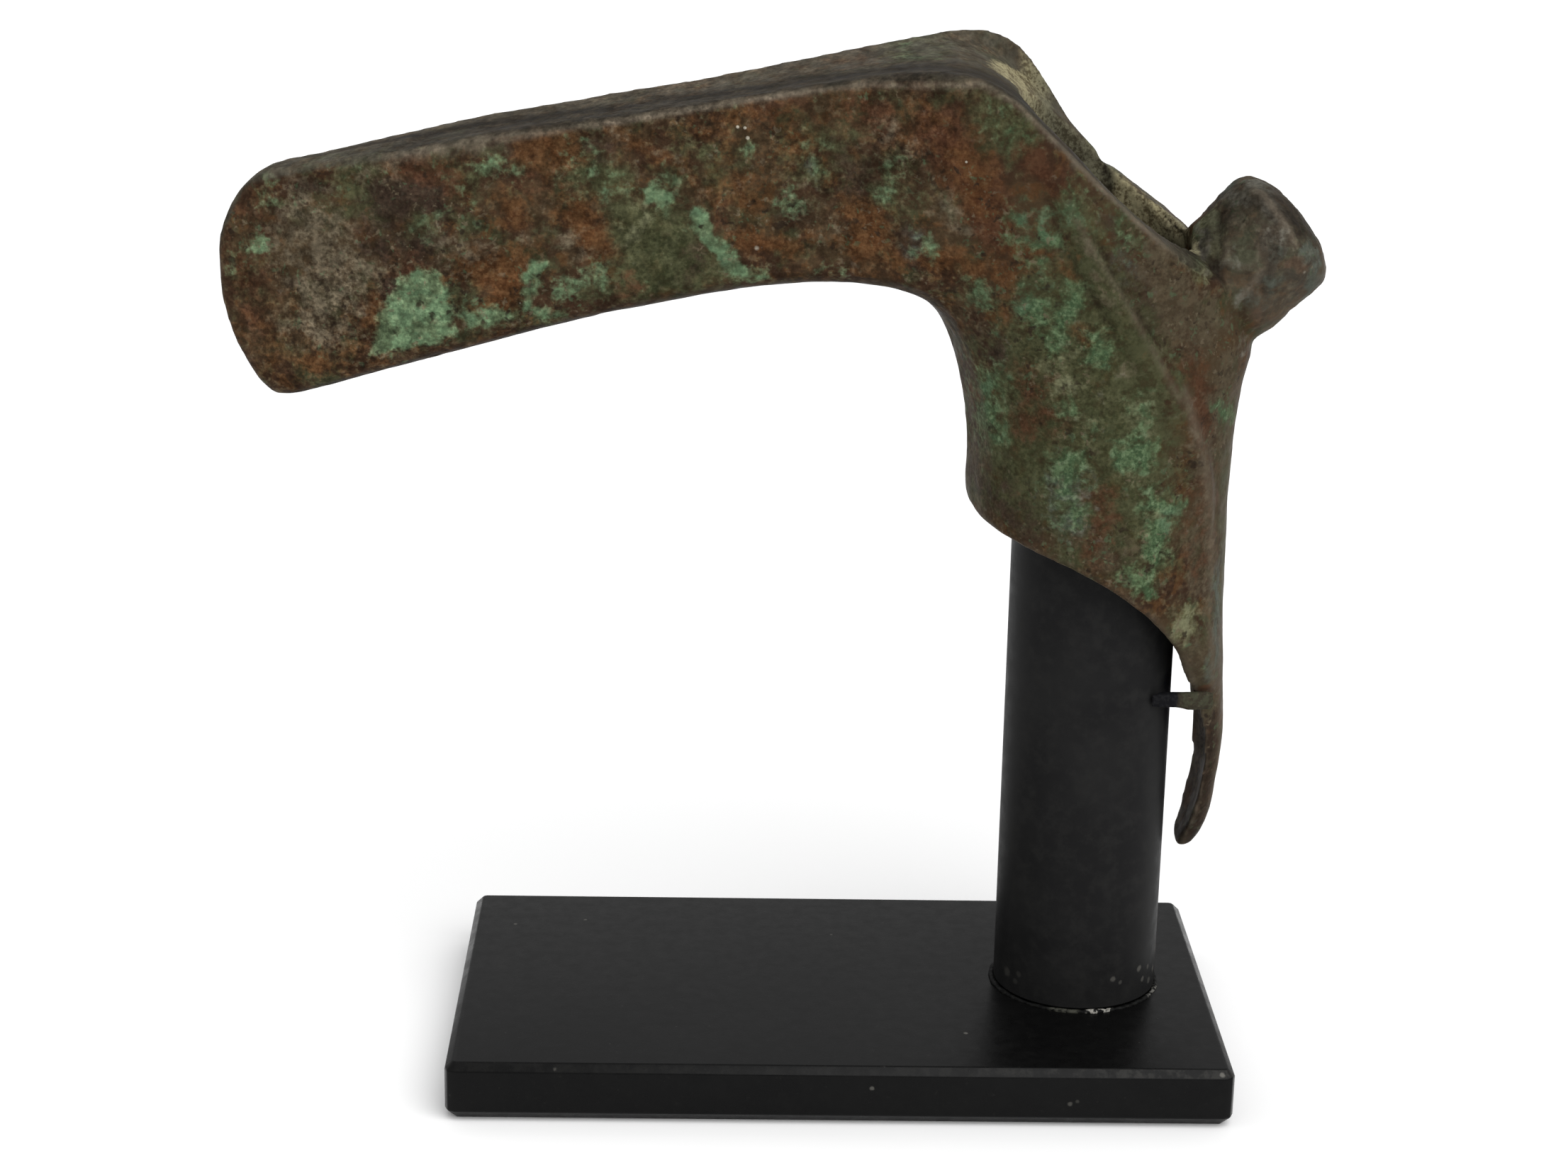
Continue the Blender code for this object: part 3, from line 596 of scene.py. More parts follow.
def build_head():
    """The CAD head with worn rims and the relief of old bronze, and its masks."""
    head = evenly_faced("adze_head", "adze_head_bronze", HEAD_FACES)
    mesh = head.data
    pairs = edge_pairs(mesh)
    points = relax(coordinates(mesh), pairs, 3)
    set_coordinates(mesh, points)
    normals = vertex_normals(mesh)
    bulge = curvature(points, normals, pairs, 9, 0.6)
    points = soften(points, normals, bulge, pairs)
    set_coordinates(mesh, points)
    normals = vertex_normals(mesh)
    broad = curvature(points, normals, pairs, 67, 0.7)

    p = to_head(points)
    fields = patina_fields(p)
    knob = knob_share(p)
    outside = side_share(p, normals)
    grooves = rib_grooves(p, outside)
    folds = knob_folds(p, normals)
    uneven = relief(p, fields, bulge, knob) - folds
    hollow = fade(relax(uneven, pairs, 8, 0.6) - uneven, 0.01, 0.09) * (1.0 - 0.65 * knob)
    raise_by = uneven - grooves + thick_corner(p, normals)
    raise_by += outside * 0.36 * along_line(p, BACK_RIDGE, 1.4)
    raise_by += outside * 0.20 * along_line(p, RIB_CREST, 0.9)
    swell(mesh, points, normals, raise_by)
    mesh.shade_smooth()

    valley_shade, rim, band = top_bands(p, normals)
    wear_and_glint = wear_and_glint_share(p, bulge, outside, folds, knob)
    set_masks(mesh, fields)
    set_masks(mesh, {
        # dirt in pits with painted shade in grooves, folds and inner corners
        "dirt_and_shade": dirt_and_shade_share(p, hollow, bulge, broad, grooves, folds),
        # rubbed metal, with a painted highlight line on the near rim
        "wear_and_highlight": most(wear_and_glint * (1.0 - band), rim),
        "smooth_metal": smooth_metal(p),
        # painted sheen on the socket's turned-away sides and painted light on the tongue's inside
        "painted_sheen": painted_sheen(p, normals),
        "blade": fade(-p[:, 0], 14.0, 26.0),
        "crust_ends": crust_ends(p),
        # painted shade along the top's valley
        "valley_shade": valley_shade,
        "band": band,
        # painted shade on the surfaces turned away from the light
        "edge": turned_away_shade(p, normals),
        "inner_crust": inner_crust(p, normals),
        "bore": bore_share(p),
        "knob": knob,
        "coarse": coarse_share(p, fields),
    })
    return head


def curvature(points, normals, pairs, rounds, share):
    """How far each point stands proud of its smoothed surroundings, in millimetres."""
    smooth_points = relax(points, pairs, rounds, share)
    proud = np.einsum("ij,ij->i", points - smooth_points, normals) / MM
    return relax(proud, pairs, 4)


def soften(points, normals, bulge, pairs):
    """Wear the near rim of the top and the whole tongue down to wide roundings."""
    x, y, z = to_head(points).T
    rim = fade(bulge, 0.06, 0.18) * fade(normals[:, 2], 0.05, 0.3)
    rim *= fade(-y, 2.0, 4.0) * fade(-x, 19.0, 27.0)
    share = most(rim, fade(-20.0 - z, 0.0, 8.0))
    share = relax(share, pairs, 2) * 0.6
    for _ in range(9):
        points = points + share[:, None] * (neighbour_mean(points, pairs) - points)
    return points


def relief(p, fields, bulge, knob):
    """Unevenness of the metal and its crust, in millimetres."""
    x, y, z = p.T
    up = 0.22 * fractal(p, 16.0, 3, 51)
    up += 0.085 * fractal(p, 4.5, 3, 52)
    up += 0.035 * fractal(p, 1.5, 2, 53)
    # crust on the green patches, hollows in the orange and tan ones
    crust = most(fields["green"], 0.7 * fields["yellow"])
    up += 0.10 * fade(crust, 0.25, 0.75) * (0.8 + 0.5 * fractal(p, 1.6, 2, 54))
    up -= 0.06 * fade(fields["orange"], 0.3, 0.9)
    rough = coarse_share(p, fields)
    up -= 0.17 * rough * pits(p, 2.6, 0.75, 0.33, 61)
    up -= 0.26 * rough * pits(p, 6.0, 1.1, 0.28, 71)
    up -= 0.16 * fade(fields["tan"], 0.3, 0.8) * pits(p, 1.7, 0.8, 0.6, 81)
    up += knob * (0.28 * fractal(p, 5.5, 3, 101) + 0.26 * fractal(p, 1.9, 3, 102))
    up -= knob * 0.25 * pits(p, 3.2, 1.1, 0.4, 111)
    # one large nick in the far rim, and small ones in the thin rims above the tongue
    large = np.exp(-((x - 0.3) / 1.1) ** 2)
    up -= 0.65 * large * fade(y, 9.0, 12.0) * fade(z, 38.0, 42.0)
    rims = fade(bulge, 0.12, 0.3) * fade(26.0 + z, -6.0, 0.0)
    return up - 0.22 * rims * pits(p, 4.5, 1.3, 0.35, 121)


def rib_grooves(p, outside):
    """Depth of the two grooves that set off the rib."""
    x = p[:, 0] + 0.25 * noise(p, 5.0, 91)
    deep = np.zeros(len(p))
    for width, depth, line in RIB_GROOVES:
        away = line_distance(x, p[:, 2], line)
        deep = most(deep, depth * np.exp(-(away / width) ** 2))
    return deep * outside * (0.25 + 0.75 * fade(p[:, 2], 22.0, 31.0))


def knob_folds(p, normals):
    """Depth of the folds on the knob's two faces, negative on its ridges."""
    x = p[:, 0] + 0.30 * noise(p, 1.8, 112)
    z = p[:, 2] + 0.30 * noise(p, 1.8, 113)
    deep = np.zeros(len(p))
    for width, depth, line in KNOB_FOLDS:
        away = line_distance(x, z, line)
        deep += depth * np.exp(-(away / width) ** 2)
    facing = fade(np.abs(normals[:, 1]), 0.15, 0.5) * fade(np.abs(p[:, 1]), 1.5, 4.0)
    return deep * facing


def thick_corner(p, normals):
    """Extra metal on the inside of the tongue, where it leaves the socket."""
    return 0.55 * blob(p, (13.0, -25.5), (3.0, 3.6)) * fade(-normals[:, 0], 0.2, 0.6)


# Masks of the head ------------------------------------------------------------

def knob_share(p):
    """1 on the knob, a round bar that slants up at the back."""
    x, y, z = p.T
    ax, az = math.cos(KNOB_TILT), math.sin(KNOB_TILT)
    dx, dz = x - KNOB_CENTRE[0], z - KNOB_CENTRE[1]
    along = dx * ax + dz * az
    off_axis = np.hypot(dz * ax - dx * az, y)
    return fade(along, -6.5, -4.0) * fade(off_axis, 12.0, 10.6) * fade(x, 12.0, 14.5)


def side_share(p, normals):
    """1 on the outside of the socket's two flanks, 0 inside the bore and on the rims."""
    x, y = p[:, 0], p[:, 1]
    outward = normals[:, 1] * np.sign(y)
    reach = np.hypot(x / 19.4, y / 17.0)
    return fade(outward, 0.15, 0.5) * fade(reach, 0.80, 0.92)


def in_bore(p):
    """1 within the shaft hole's own outline and on its wall, seen from above."""
    reach = np.hypot((p[:, 0] - BORE_X) / BORE_HALF[0], p[:, 1] / BORE_HALF[1])
    return fade(1.02 - reach, 0.0, 0.05)


def bore_share(p):
    """1 on the wall of the shaft hole."""
    x, _, z = p.T
    height = fade(39.0 - 0.85 * x - z, -2.0, 4.0) * fade(z, -20.0, -10.0)
    return in_bore(p) * height * fade(x, -18.5, -17.0)


def over_mouth(p):
    """Height over the plane of the slanted mouth."""
    return p[:, 2] - (MOUTH_HEIGHT - MOUTH_SLOPE * p[:, 0])


def smooth_metal(p):
    """1 on the worn back of the socket and on the tongue."""
    x, _, z = p.T
    back = fade(x + 0.45 * z, 6.0, 16.0) * fade(38.0 - z, 0.0, 6.0)
    tongue = fade(-14.0 - z, 0.0, 10.0)
    return most(back, tongue)


def coarse_share(p, fields):
    """Near 1 on the pitted blade, less on the socket and the knob, least on smooth metal."""
    blade = fade(-p[:, 0], 18.0, 36.0)
    rough = 0.25 + 0.35 * blade + 0.40 * fade(fractal(p, 22.0, 2, 55), -0.3, 0.4)
    rough = most(rough, 0.6 * fade(fields["tan"], 0.2, 0.7), 0.5 * knob_share(p))
    return rough * (1.0 - 0.75 * smooth_metal(p))


def dirt_and_shade_share(p, hollow, bulge, broad, grooves, folds):
    """Dark dirt in pits, painted shade in inner corners, grooves and folds, and a dark streak down the
    tongue.
    """
    # dirt in pits and painted shade in inner corners
    dirt_and_shade = most(hollow, 0.8 * fade(-bulge, 0.03, 0.25), 0.9 * fade(-broad, 0.15, 0.9))
    # the knob's flank towards the mouth is lighter
    flank = blob(p, (11.6, 39.6), (3.0, 4.4))
    dirt_and_shade *= 1.0 - 0.75 * fade(flank, 0.15, 0.6)
    streak = 0.95 * along_line(p, TONGUE_STREAK, 1.0)
    tip = 0.80 * fade(-46.0 - p[:, 2], 0.0, 7.0)
    # painted shade in the grooves and folds
    return most(dirt_and_shade, 0.75 * fade(grooves, 0.16, 0.45), 0.8 * fade(folds, 0.10, 0.50), streak, tip)


def wear_and_glint_share(p, bulge, outside, folds, knob):
    """Rubbed metal on edges and on the socket's ridges, and on the knob's ridges rubbed metal with a
    painted highlight.
    """
    x, y, z = p.T
    wear_and_glint = fade(bulge, 0.10, 0.34) * (0.45 + 0.55 * fade(fractal(p, 6.0, 3, 131), -0.3, 0.3))
    wear_and_glint = most(wear_and_glint, 0.45 * outside * along_line(p, BACK_RIDGE, 0.6),
                0.34 * outside * along_line(p, RIB_CREST, 0.45)) * (1.0 - 0.45 * knob)
    # on the knob's ridges, a painted highlight along with the wear
    wear_and_glint = most(wear_and_glint, 0.55 * fade(-folds, 0.08, 0.3))
    # the near rim of the top has a painted highlight line of its own, from top_bands
    near = fade(2.2 - curve_at(x, TOP_LINE) + z, 0.0, 0.7) * fade(-y, 0.0, 2.0)
    return wear_and_glint * (1.0 - near * between(x, -100.0, -90.0, -4.0, 4.0))


def top_bands(p, normals):
    """Painted shade in the valley along the top, a painted highlight line below its near rim, and the
    whole top.
    """
    x, y, z = p.T
    # 0 at the far rim and 1 at the near one
    across = 0.5 * (1.0 - y / curve_at(x, TOP_HALF_WIDTH)) + 0.05 * fractal(p, 9.0, 3, 141)
    drop = curve_at(x, TOP_LINE) - z
    upward = fade(normals[:, 2], 0.30, 0.65)
    start = fade(x, -124.0, -100.0)
    middle = curve_at(x, VALLEY)
    valley_shade = upward * start * np.exp(-((across - middle) / (0.13 + 0.08 * start)) ** 2)
    # between the valley and the highlight line, painted shade lies on the near rim too
    depth = 0.25 + 0.25 * fade(x, -60.0, -30.0) * fade(-x, 20.0, 26.0) + 0.12 * noise(p, 7.0, 151)
    inward = upward * fade(normals[:, 1], -0.14, -0.02)
    near = most(fade(depth + 0.12 - drop, -0.20, 0.20), inward)
    near *= fade(across, middle - 0.05, middle + 0.05) * between(x, -98.0, -86.0, -6.0, 2.0)
    # and the painted shade covers the whole top towards the cutting edge
    valley_shade = most(valley_shade, 0.80 * near, 0.62 * upward * between(x, -112.0, -96.0, -84.0, -60.0))
    width = 0.40 + 0.50 * (1.0 - fade(x, -90.0, -80.0))
    # a painted highlight line along the rounding of the near rim
    rim = fade(-y, 1.5, 3.5) * np.exp(-((drop - depth - 0.45) / width) ** 2)
    rim *= between(x, -106.0, -94.0, 2.0, 8.0) * fade(-normals[:, 1], 0.15, 0.40)
    rim *= 0.70 + 0.40 * fade(fractal(p, 3.0, 3, 152), -0.35, 0.25)
    rim *= 0.72 + 0.28 * fade(x, -84.0, -70.0)
    band = upward * (1.0 - fade(x, 8.0, 12.0)) * fade(3.0 - drop, 0.0, 1.5)
    band = most(band, fade(depth - drop, 0.0, 0.4) * fade(-x, -1.0, 5.0))
    # the far rim is a little lighter as well
    far_rim = upward * fade(0.34 - across, 0.0, 0.22) * between(x, -124.0, -100.0, -60.0, -30.0)
    rim = most(rim, 0.30 * far_rim)
    return valley_shade * (1.0 - np.clip(rim, 0.0, 1.0)), rim, band


def turned_away_shade(p, normals):
    """Painted shade: 1 where the outside turns away below or in front or behind, 0 on the flanks."""
    x, _, z = p.T
    turned = fade(0.80 - np.abs(normals[:, 1]), 0.0, 0.45)
    below = 1.0 - fade(normals[:, 2], 0.10, 0.45)
    socket = most(fade(x, -25.0, -19.0) * fade(30.0 - z, 0.0, 8.0), fade(x, 4.0, 9.0))
    return turned * below * (1.0 - bore_share(p)) * (1.0 - socket) * (1.0 - knob_share(p))


def painted_sheen(p, normals):
    """A painted sheen on the turned-away sides of the socket, and painted light on the tongue's inside.
    """
    x, _, z = p.T
    turned = fade(0.62 - np.abs(normals[:, 1]), 0.0, 0.35) * fade(0.5 - normals[:, 2], 0.0, 0.3)
    socket = fade(x, -22.0, -17.0) * fade(34.0 - z, 0.0, 8.0)
    inside = fade(-normals[:, 0], 0.1, 0.4) * fade(-22.0 - z, 0.0, 5.0)
    inside *= 0.45 * fade(44.0 + z, 0.0, 10.0)
    return most(0.45 * turned * socket * (1.0 - in_bore(p)), inside)


def inner_crust(p, normals):
    """Crust inside the far rim of the mouth, across its apex and in its lower corner."""
    x, y, _ = p.T
    height = over_mouth(p)
    facing = fade(0.45 * fade(x, 0.0, 5.0) - normals[:, 1], 0.05, 0.4) * fade(y, 2.0, 6.0)
    facing *= 1.0 - 0.75 * fade(normals[:, 2], 0.25, 0.60) * fade(y, 9.0, 12.0)
    facing *= 1.0 - 0.85 * fade(-x, 11.0, 13.5) * fade(y, 9.5, 12.5)
    place = between(x, -19.0, -15.0, 11.0, 13.0) * fade(height, -9.0, -4.0)
    apex = between(x, -20.0, -16.0, -10.0, -6.5) * fade(height, -5.0, -2.0)
    apex *= fade(y, 0.0, 4.0) * (1.0 - fade(y - 1.3 * (x + 16.0), 9.0, 13.0))
    apex *= 1.0 - fade(normals[:, 1], 0.15, 0.45)
    corner = blob(p, (9.2, 37.4), (2.6, 2.4)) * fade(10.0 - np.abs(y), 0.0, 4.0)
    return most(facing * place, 0.85 * apex, 0.8 * fade(corner, 0.2, 0.7))


def crust_ends(p):
    """1 at both ends of that crust, where it is yellow."""
    x = p[:, 0] + 0.8 * noise(p, 3.0, 161)
    apex = 1.0 - fade(x, -14.5, -7.5)
    ends = most(apex, fade(x, 0.5, 2.5) * (1.0 - 0.5 * fade(x, 7.0, 9.0)))
    return ends * fade(over_mouth(p), -11.0, -7.0)


# Stand ------------------------------------------------------------------------

def on_post(turn, height, radius, share):
    """A spot on the post: degrees to the right of the front, height over the plate."""
    x = POST_X + POST_RADIUS * math.sin(math.radians(turn))
    y = POST_Y - POST_RADIUS * math.cos(math.radians(turn))
    return (x, y, PLATE_TOP + height, radius, share)


# Bare spots in the paint: place in the frame, radius, strength
PLATE_CHIPS = ((18.8, -19.2, 9.0, 0.34, 0.6), (-50.0, 18.8, 9.0, 0.30, 0.5),
               (-39.0, 20.8, 9.0, 0.28, 0.4), (0.0, 16.0, 9.0, 0.24, 0.4),
               (4.5, -31.4, 6.0, 0.34, 0.5), (33.2, -31.4, 3.8, 0.36, 0.35),
               (34.2, -31.4, 4.2, 0.30, 0.2), (-41.1, -31.2, 8.5, 0.36, 0.8),
               (55.0, -31.0, 8.5, 0.42, 0.8))
POST_CHIPS = (on_post(22.0, 5.0, 0.45, 0.45), on_post(28.0, 4.2, 0.34, 0.30),
              on_post(46.0, 5.5, 0.52, 0.50), on_post(51.0, 3.4, 0.42, 0.45),
              on_post(58.0, 4.9, 0.40, 0.30), on_post(61.0, 2.4, 0.55, 0.30),
              on_post(70.0, 3.6, 0.60, 0.40), on_post(78.0, 6.4, 1.10, 0.22),
              on_post(-62.0, 3.5, 0.80, 0.20), on_post(-49.0, 4.1, 0.50, 0.14),
              on_post(-52.0, 2.7, 0.50, 0.14))
# Painted shadow of the head on the post's right side, as darker spots in its paint
POST_SHADOW_SPOTS = (on_post(70.0, 50.0, 3.0, 0.9), on_post(73.0, 55.0, 2.6, 0.9),
               on_post(72.0, 45.5, 2.4, 0.8))

POST_SIDES = 128
POST_STEP = 1.5                 # height of a ring of the post's faces
RIPPLE_ROOM = 0.02              # how far the post is drawn in for the ripple of its paint
BEAD_STEPS = 220                # round the post
BEAD_SIDES = 14                 # round the bead itself


def build_plate():
    """The CAD plate with its edges softened."""
    start = copy_of("base_plate")
    form = bmesh.new()
    form.from_mesh(start.data)
    bmesh.ops.remove_doubles(form, verts=form.verts, dist=0.01 * MM)
    bmesh.ops.dissolve_limit(form, angle_limit=math.radians(2.0), verts=form.verts,
                             edges=form.edges)
    sharp = [edge for edge in form.edges if len(edge.link_faces) == 2
             and edge.calc_face_angle() > math.radians(30.0)]
    bmesh.ops.bevel(form, geom=sharp, offset=0.22 * MM, segments=3, affect="EDGES", profile=0.6)
    form.to_mesh(start.data)
    form.free()
    plate = applied(start, "base_plate_painted")
    plate.data.shade_smooth()
    harden(plate, 25.0)
    return plate


def round_post(form, angle, out, up):
    """A vertex at an angle round the post, a distance from its axis and a height."""
    return form.verts.new((POST_X + out * math.cos(angle), POST_Y + out * math.sin(angle), up))


def skin(form, rings):
    """Faces between each ring of vertices and the next."""
    for lower, upper in zip(rings, rings[1:]):
        for side in range(len(lower)):
            after = (side + 1) % len(lower)
            form.faces.new((lower[side], lower[after], upper[after], upper[side]))


def turns(count):
    """Evenly spaced angles round a full turn."""
    return [2.0 * math.pi * step / count for step in range(count)]


def build_post():
    """Turned bar under thick paint, with its lower end sunk in the bead."""
    foot = post_low.z / MM
    top = post_high.z / MM
    painted = POST_RADIUS - RIPPLE_ROOM
    profile = [(foot, POST_RADIUS - 0.3), (foot + 0.3, painted)]
    height = foot + POST_STEP
    while height < top - 1.6:
        profile.append((height, painted))
        height += POST_STEP
    profile += [(top - 1.2, painted), (top - 0.6, POST_RADIUS - 0.5), (top, POST_RADIUS - 1.2)]
    form = bmesh.new()
    rings = []
    for level, radius in profile:
        rings.append([round_post(form, angle, radius, level) for angle in turns(POST_SIDES)])
    skin(form, rings)
    form.faces.new(rings[0])
    form.faces.new(rings[-1])
    post = add_piece("post_painted", form)
    points = coordinates(post.data)
    drawn_out = points / MM * np.array([1.0, 1.0, 0.35])
    ripple = 0.018 * fractal(drawn_out, 7.0, 2, 201) - 0.018
    swell(post.data, points, vertex_normals(post.data), ripple)
    post.data.shade_smooth()
    harden(post, 40.0)
    return post


def build_bead():
    """Uneven bead of filler round the post's foot."""
    form = bmesh.new()
    rings = []
    for angle in turns(BEAD_STEPS):
        spot = np.array([[POST_X + POST_RADIUS * math.cos(angle),
                          POST_Y + POST_RADIUS * math.sin(angle), 0.0]])
        size = 0.50 + 0.16 * noise(spot, 6.0, 211)[0] + 0.12 * noise(spot, 1.6, 212)[0]
        ring = []
        for bend in turns(BEAD_SIDES):
            out = POST_RADIUS + 0.05 + size * (0.35 + 0.85 * math.cos(bend))
            up = PLATE_TOP + size * (0.15 + 0.75 * math.sin(bend))
            ring.append(round_post(form, angle, out, up))
        rings.append(ring)
    skin(form, rings + rings[:1])
    bead = add_piece("post_foot_bead", form)
    bead.data.shade_smooth()
    p = coordinates(bead.data) / MM
    turn = np.degrees(np.arctan2(p[:, 0] - POST_X, POST_Y - p[:, 1]))
    chipped = fade(10.5 - np.abs(turn - 12.5), 0.0, 3.0)
    chipped = most(chipped, 0.4 * fade(14.0 - np.abs(turn - 68.0), 0.0, 6.0))
    streak = fade(12.0 - np.abs(turn + 12.0), 0.0, 5.0)
    set_masks(bead.data, {"chipped": chipped, "streak": streak})
    return bead


def build_prong():
    """The CAD bar with rounded, slightly hammered faces, thinner on the tongue."""
    bar = evenly_faced("prong", "prong_bar", PRONG_FACES)
    mesh = bar.data
    origin = np.array([POST_X, POST_Y, PLATE_TOP])
    p = relax(coordinates(mesh), edge_pairs(mesh), 14) / MM - origin
    # lower at the post, and thin where it lies on the tongue
    middle = 0.5 * (prong_low.z + prong_high.z) / MM - PLATE_TOP
    back = prong_high.y / MM - POST_Y
    outer = fade(p[:, 0], 11.0, 15.0)
    p[:, 1] = back + (p[:, 1] - back) * (1.0 - 0.80 * fade(p[:, 0], 13.6, 17.4))
    p[:, 2] = middle + (p[:, 2] - middle) * (0.80 + 0.20 * outer) - 0.25 * outer
    points = (p + origin) * MM
    set_coordinates(mesh, points)
    uneven = 0.10 * fractal(p, 2.6, 2, 221) + 0.05 * noise(p, 0.8, 222)
    swell(mesh, points, vertex_normals(mesh), uneven)
    mesh.shade_smooth()
    set_masks(mesh, {"painted": fade(12.6 - p[:, 0], -0.8, 1.6)})
    return bar


# Materials --------------------------------------------------------------------

class Recipe:
    """Short ways to lay out the nodes of one material, measured in millimetres."""

    def __init__(self, name):
        self.material = bpy.data.materials.new(name)
        self.material.use_nodes = True
        self.tree = self.material.node_tree
        self.shader = self.tree.nodes["Principled BSDF"]
        place = self.add("TexCoord", {})
        scale = self.add("VectorMath", {0: place.outputs["Object"], "Scale": 1.0 / MM},
                         operation="SCALE")
        self.place = scale.outputs[0]

    def add(self, kind, inputs, **settings):
        """New node with its settings and inputs, each a value or another node's output."""
        node = self.tree.nodes.new("ShaderNode" + kind)
        for name, value in settings.items():
            setattr(node, name, value)
        for name, value in inputs.items():
            self.put(node.inputs[name], value)
        return node

    def put(self, socket, value):
        if hasattr(value, "is_linked"):
            self.tree.links.new(value, socket)
        elif socket.type == "RGBA":
            socket.default_value = (*value, 1.0)
        else:
            socket.default_value = value

    def set(self, name, value):
        self.put(self.shader.inputs[name], value)

    def mask(self, name, share=1.0):
        """One of the numbers that set_masks stored, times a share."""
        value = self.add("Attribute", {}, attribute_name=name).outputs["Fac"]
        return value if share == 1.0 else self.times(value, share)

    def math(self, operation, a, b, clamp=False):
        return self.add("Math", {0: a, 1: b}, operation=operation, use_clamp=clamp).outputs[0]

    def times(self, a, b):
        return self.math("MULTIPLY", a, b)

    def plus(self, a, b):
        return self.math("ADD", a, b)

    def around(self, value, amount):
        """A noise's swing about its middle, times an amount."""
        return self.times(self.math("SUBTRACT", value, 0.5), amount)

    def vector(self, operation, a, b=(0.0, 0.0, 0.0), out="Vector"):
        return self.add("VectorMath", {0: a, 1: b}, operation=operation).outputs[out]

    def noise(self, size, detail=3.0, roughness=0.55, distortion=0.0, offset=0.0):
        moved = self.vector("ADD", self.place, (offset, 1.7 * offset, -0.6 * offset))
        return self.add("TexNoise", {"Vector": moved, "Scale": 1.0 / size, "Detail": detail,
                                     "Roughness": roughness,
                                     "Distortion": distortion}).outputs["Fac"]

    def cells(self, size, offset):
        """Distance to the nearest of many scattered spots, in cells."""
        moved = self.vector("ADD", self.place, (offset, -offset, 0.5 * offset))
        return self.add("TexVoronoi", {"Vector": moved, "Scale": 1.0 / size}).outputs["Distance"]

    def ramp(self, value, low, high, bottom=0.0, top=1.0):
        return self.add("MapRange", {"Value": value, "From Min": low, "From Max": high,
                                     "To Min": bottom, "To Max": top},
                        interpolation_type="SMOOTHSTEP").outputs["Result"]

    def mix(self, share, a, b, blend="MIX"):
        """Colour a with a share of b, a number or a mask; 6 and 7 are a node's colours."""
        return self.add("Mix", {"Factor": share, 6: a, 7: b}, data_type="RGBA",
                        blend_type=blend).outputs[2]

    def axis(self, name):
        """One coordinate of the object's own frame, in millimetres."""
        return self.add("SeparateXYZ", {0: self.place}).outputs[name]

    def distance(self, spot, weights):
        """Distance from a spot, in millimetres times the weights along X, Y and Z."""
        away = self.vector("SUBTRACT", self.place, spot)
        return self.vector("LENGTH", self.vector("MULTIPLY", away, weights), out="Value")

    def bump(self, height, strength, distance, normal=None):
        inputs = {"Height": height, "Strength": strength, "Distance": distance * MM}
        if normal is not None:
            inputs["Normal"] = normal
        return self.add("Bump", inputs).outputs["Normal"]


def broken(r, name, patchy, grainy, spread=1.3, edge=0.34):
    """A patina mask whose soft rim breaks up into patches and grains."""
    value = r.plus(r.mask(name), r.around(patchy, spread))
    return r.ramp(r.plus(value, r.around(grainy, 0.55)), 0.5 - edge, 0.5 + edge)


def granular(r, colour, value, low, high):
    """The colour darkened and lightened by a fine noise."""
    shade = r.mix(r.ramp(value, 0.30, 0.70), (low, low, low), (high, high, high))
    return r.mix(1.0, colour, shade, "MULTIPLY")


PATINA_TINTS = (                # mask, its colour, a second colour among its grains, share
    ("olive", (0.034, 0.039, 0.018), (0.056, 0.060, 0.030), 0.85),
    ("brown", (0.046, 0.035, 0.022), (0.068, 0.054, 0.034), 0.85),
    ("dark", (0.024, 0.016, 0.012), (0.038, 0.025, 0.018), 0.90),
    ("red", (0.043, 0.018, 0.010), (0.066, 0.031, 0.017), 0.85),
    ("orange", (0.064, 0.027, 0.011), (0.090, 0.044, 0.019), 0.85),
    ("tan", (0.056, 0.044, 0.028), (0.112, 0.092, 0.062), 0.85),
    ("yellow", (0.082, 0.084, 0.042), (0.150, 0.152, 0.088), 0.85),
    ("teal", (0.036, 0.044, 0.036), (0.062, 0.076, 0.062), 0.80),
    ("pale", (0.080, 0.076, 0.062), (0.165, 0.156, 0.130), 0.85),
)
FLECKS = (                      # size, threshold, offset, colour, share
    (1.3, 0.60, 97.0, (0.060, 0.084, 0.046), 0.65),
    (1.1, 0.61, 151.0, (0.115, 0.092, 0.060), 0.65),
    (1.6, 0.60, 173.0, (0.020, 0.014, 0.010), 0.80),
)
# Painted shade in the valley along the top and on the edges turned away from the light, and the top's
# greyer colour
SHADED = (                      # mask, its share where the noise is low and high, colour
    ("band", 0.85, 0.45, (0.066, 0.061, 0.046)),
    ("valley_shade", 1.0, 0.75, (0.016, 0.013, 0.010)),
    ("edge", 0.85, 0.50, (0.024, 0.019, 0.014)),
)
GRAIN_COLOUR = (0.34, 0.31, 0.25)


class Grit:
    """The noises that all layers of the bronze share, from coarse to fine."""

    def __init__(self, r):
        self.coarse = r.noise(8.0)
        self.middle = r.noise(2.6, 3.0, 0.6, 0.1, offset=13.0)
        self.fine = r.noise(0.95, 2.0, 0.6, offset=29.0)
        self.grain = r.noise(0.48, 2.0, 0.6, offset=41.0)


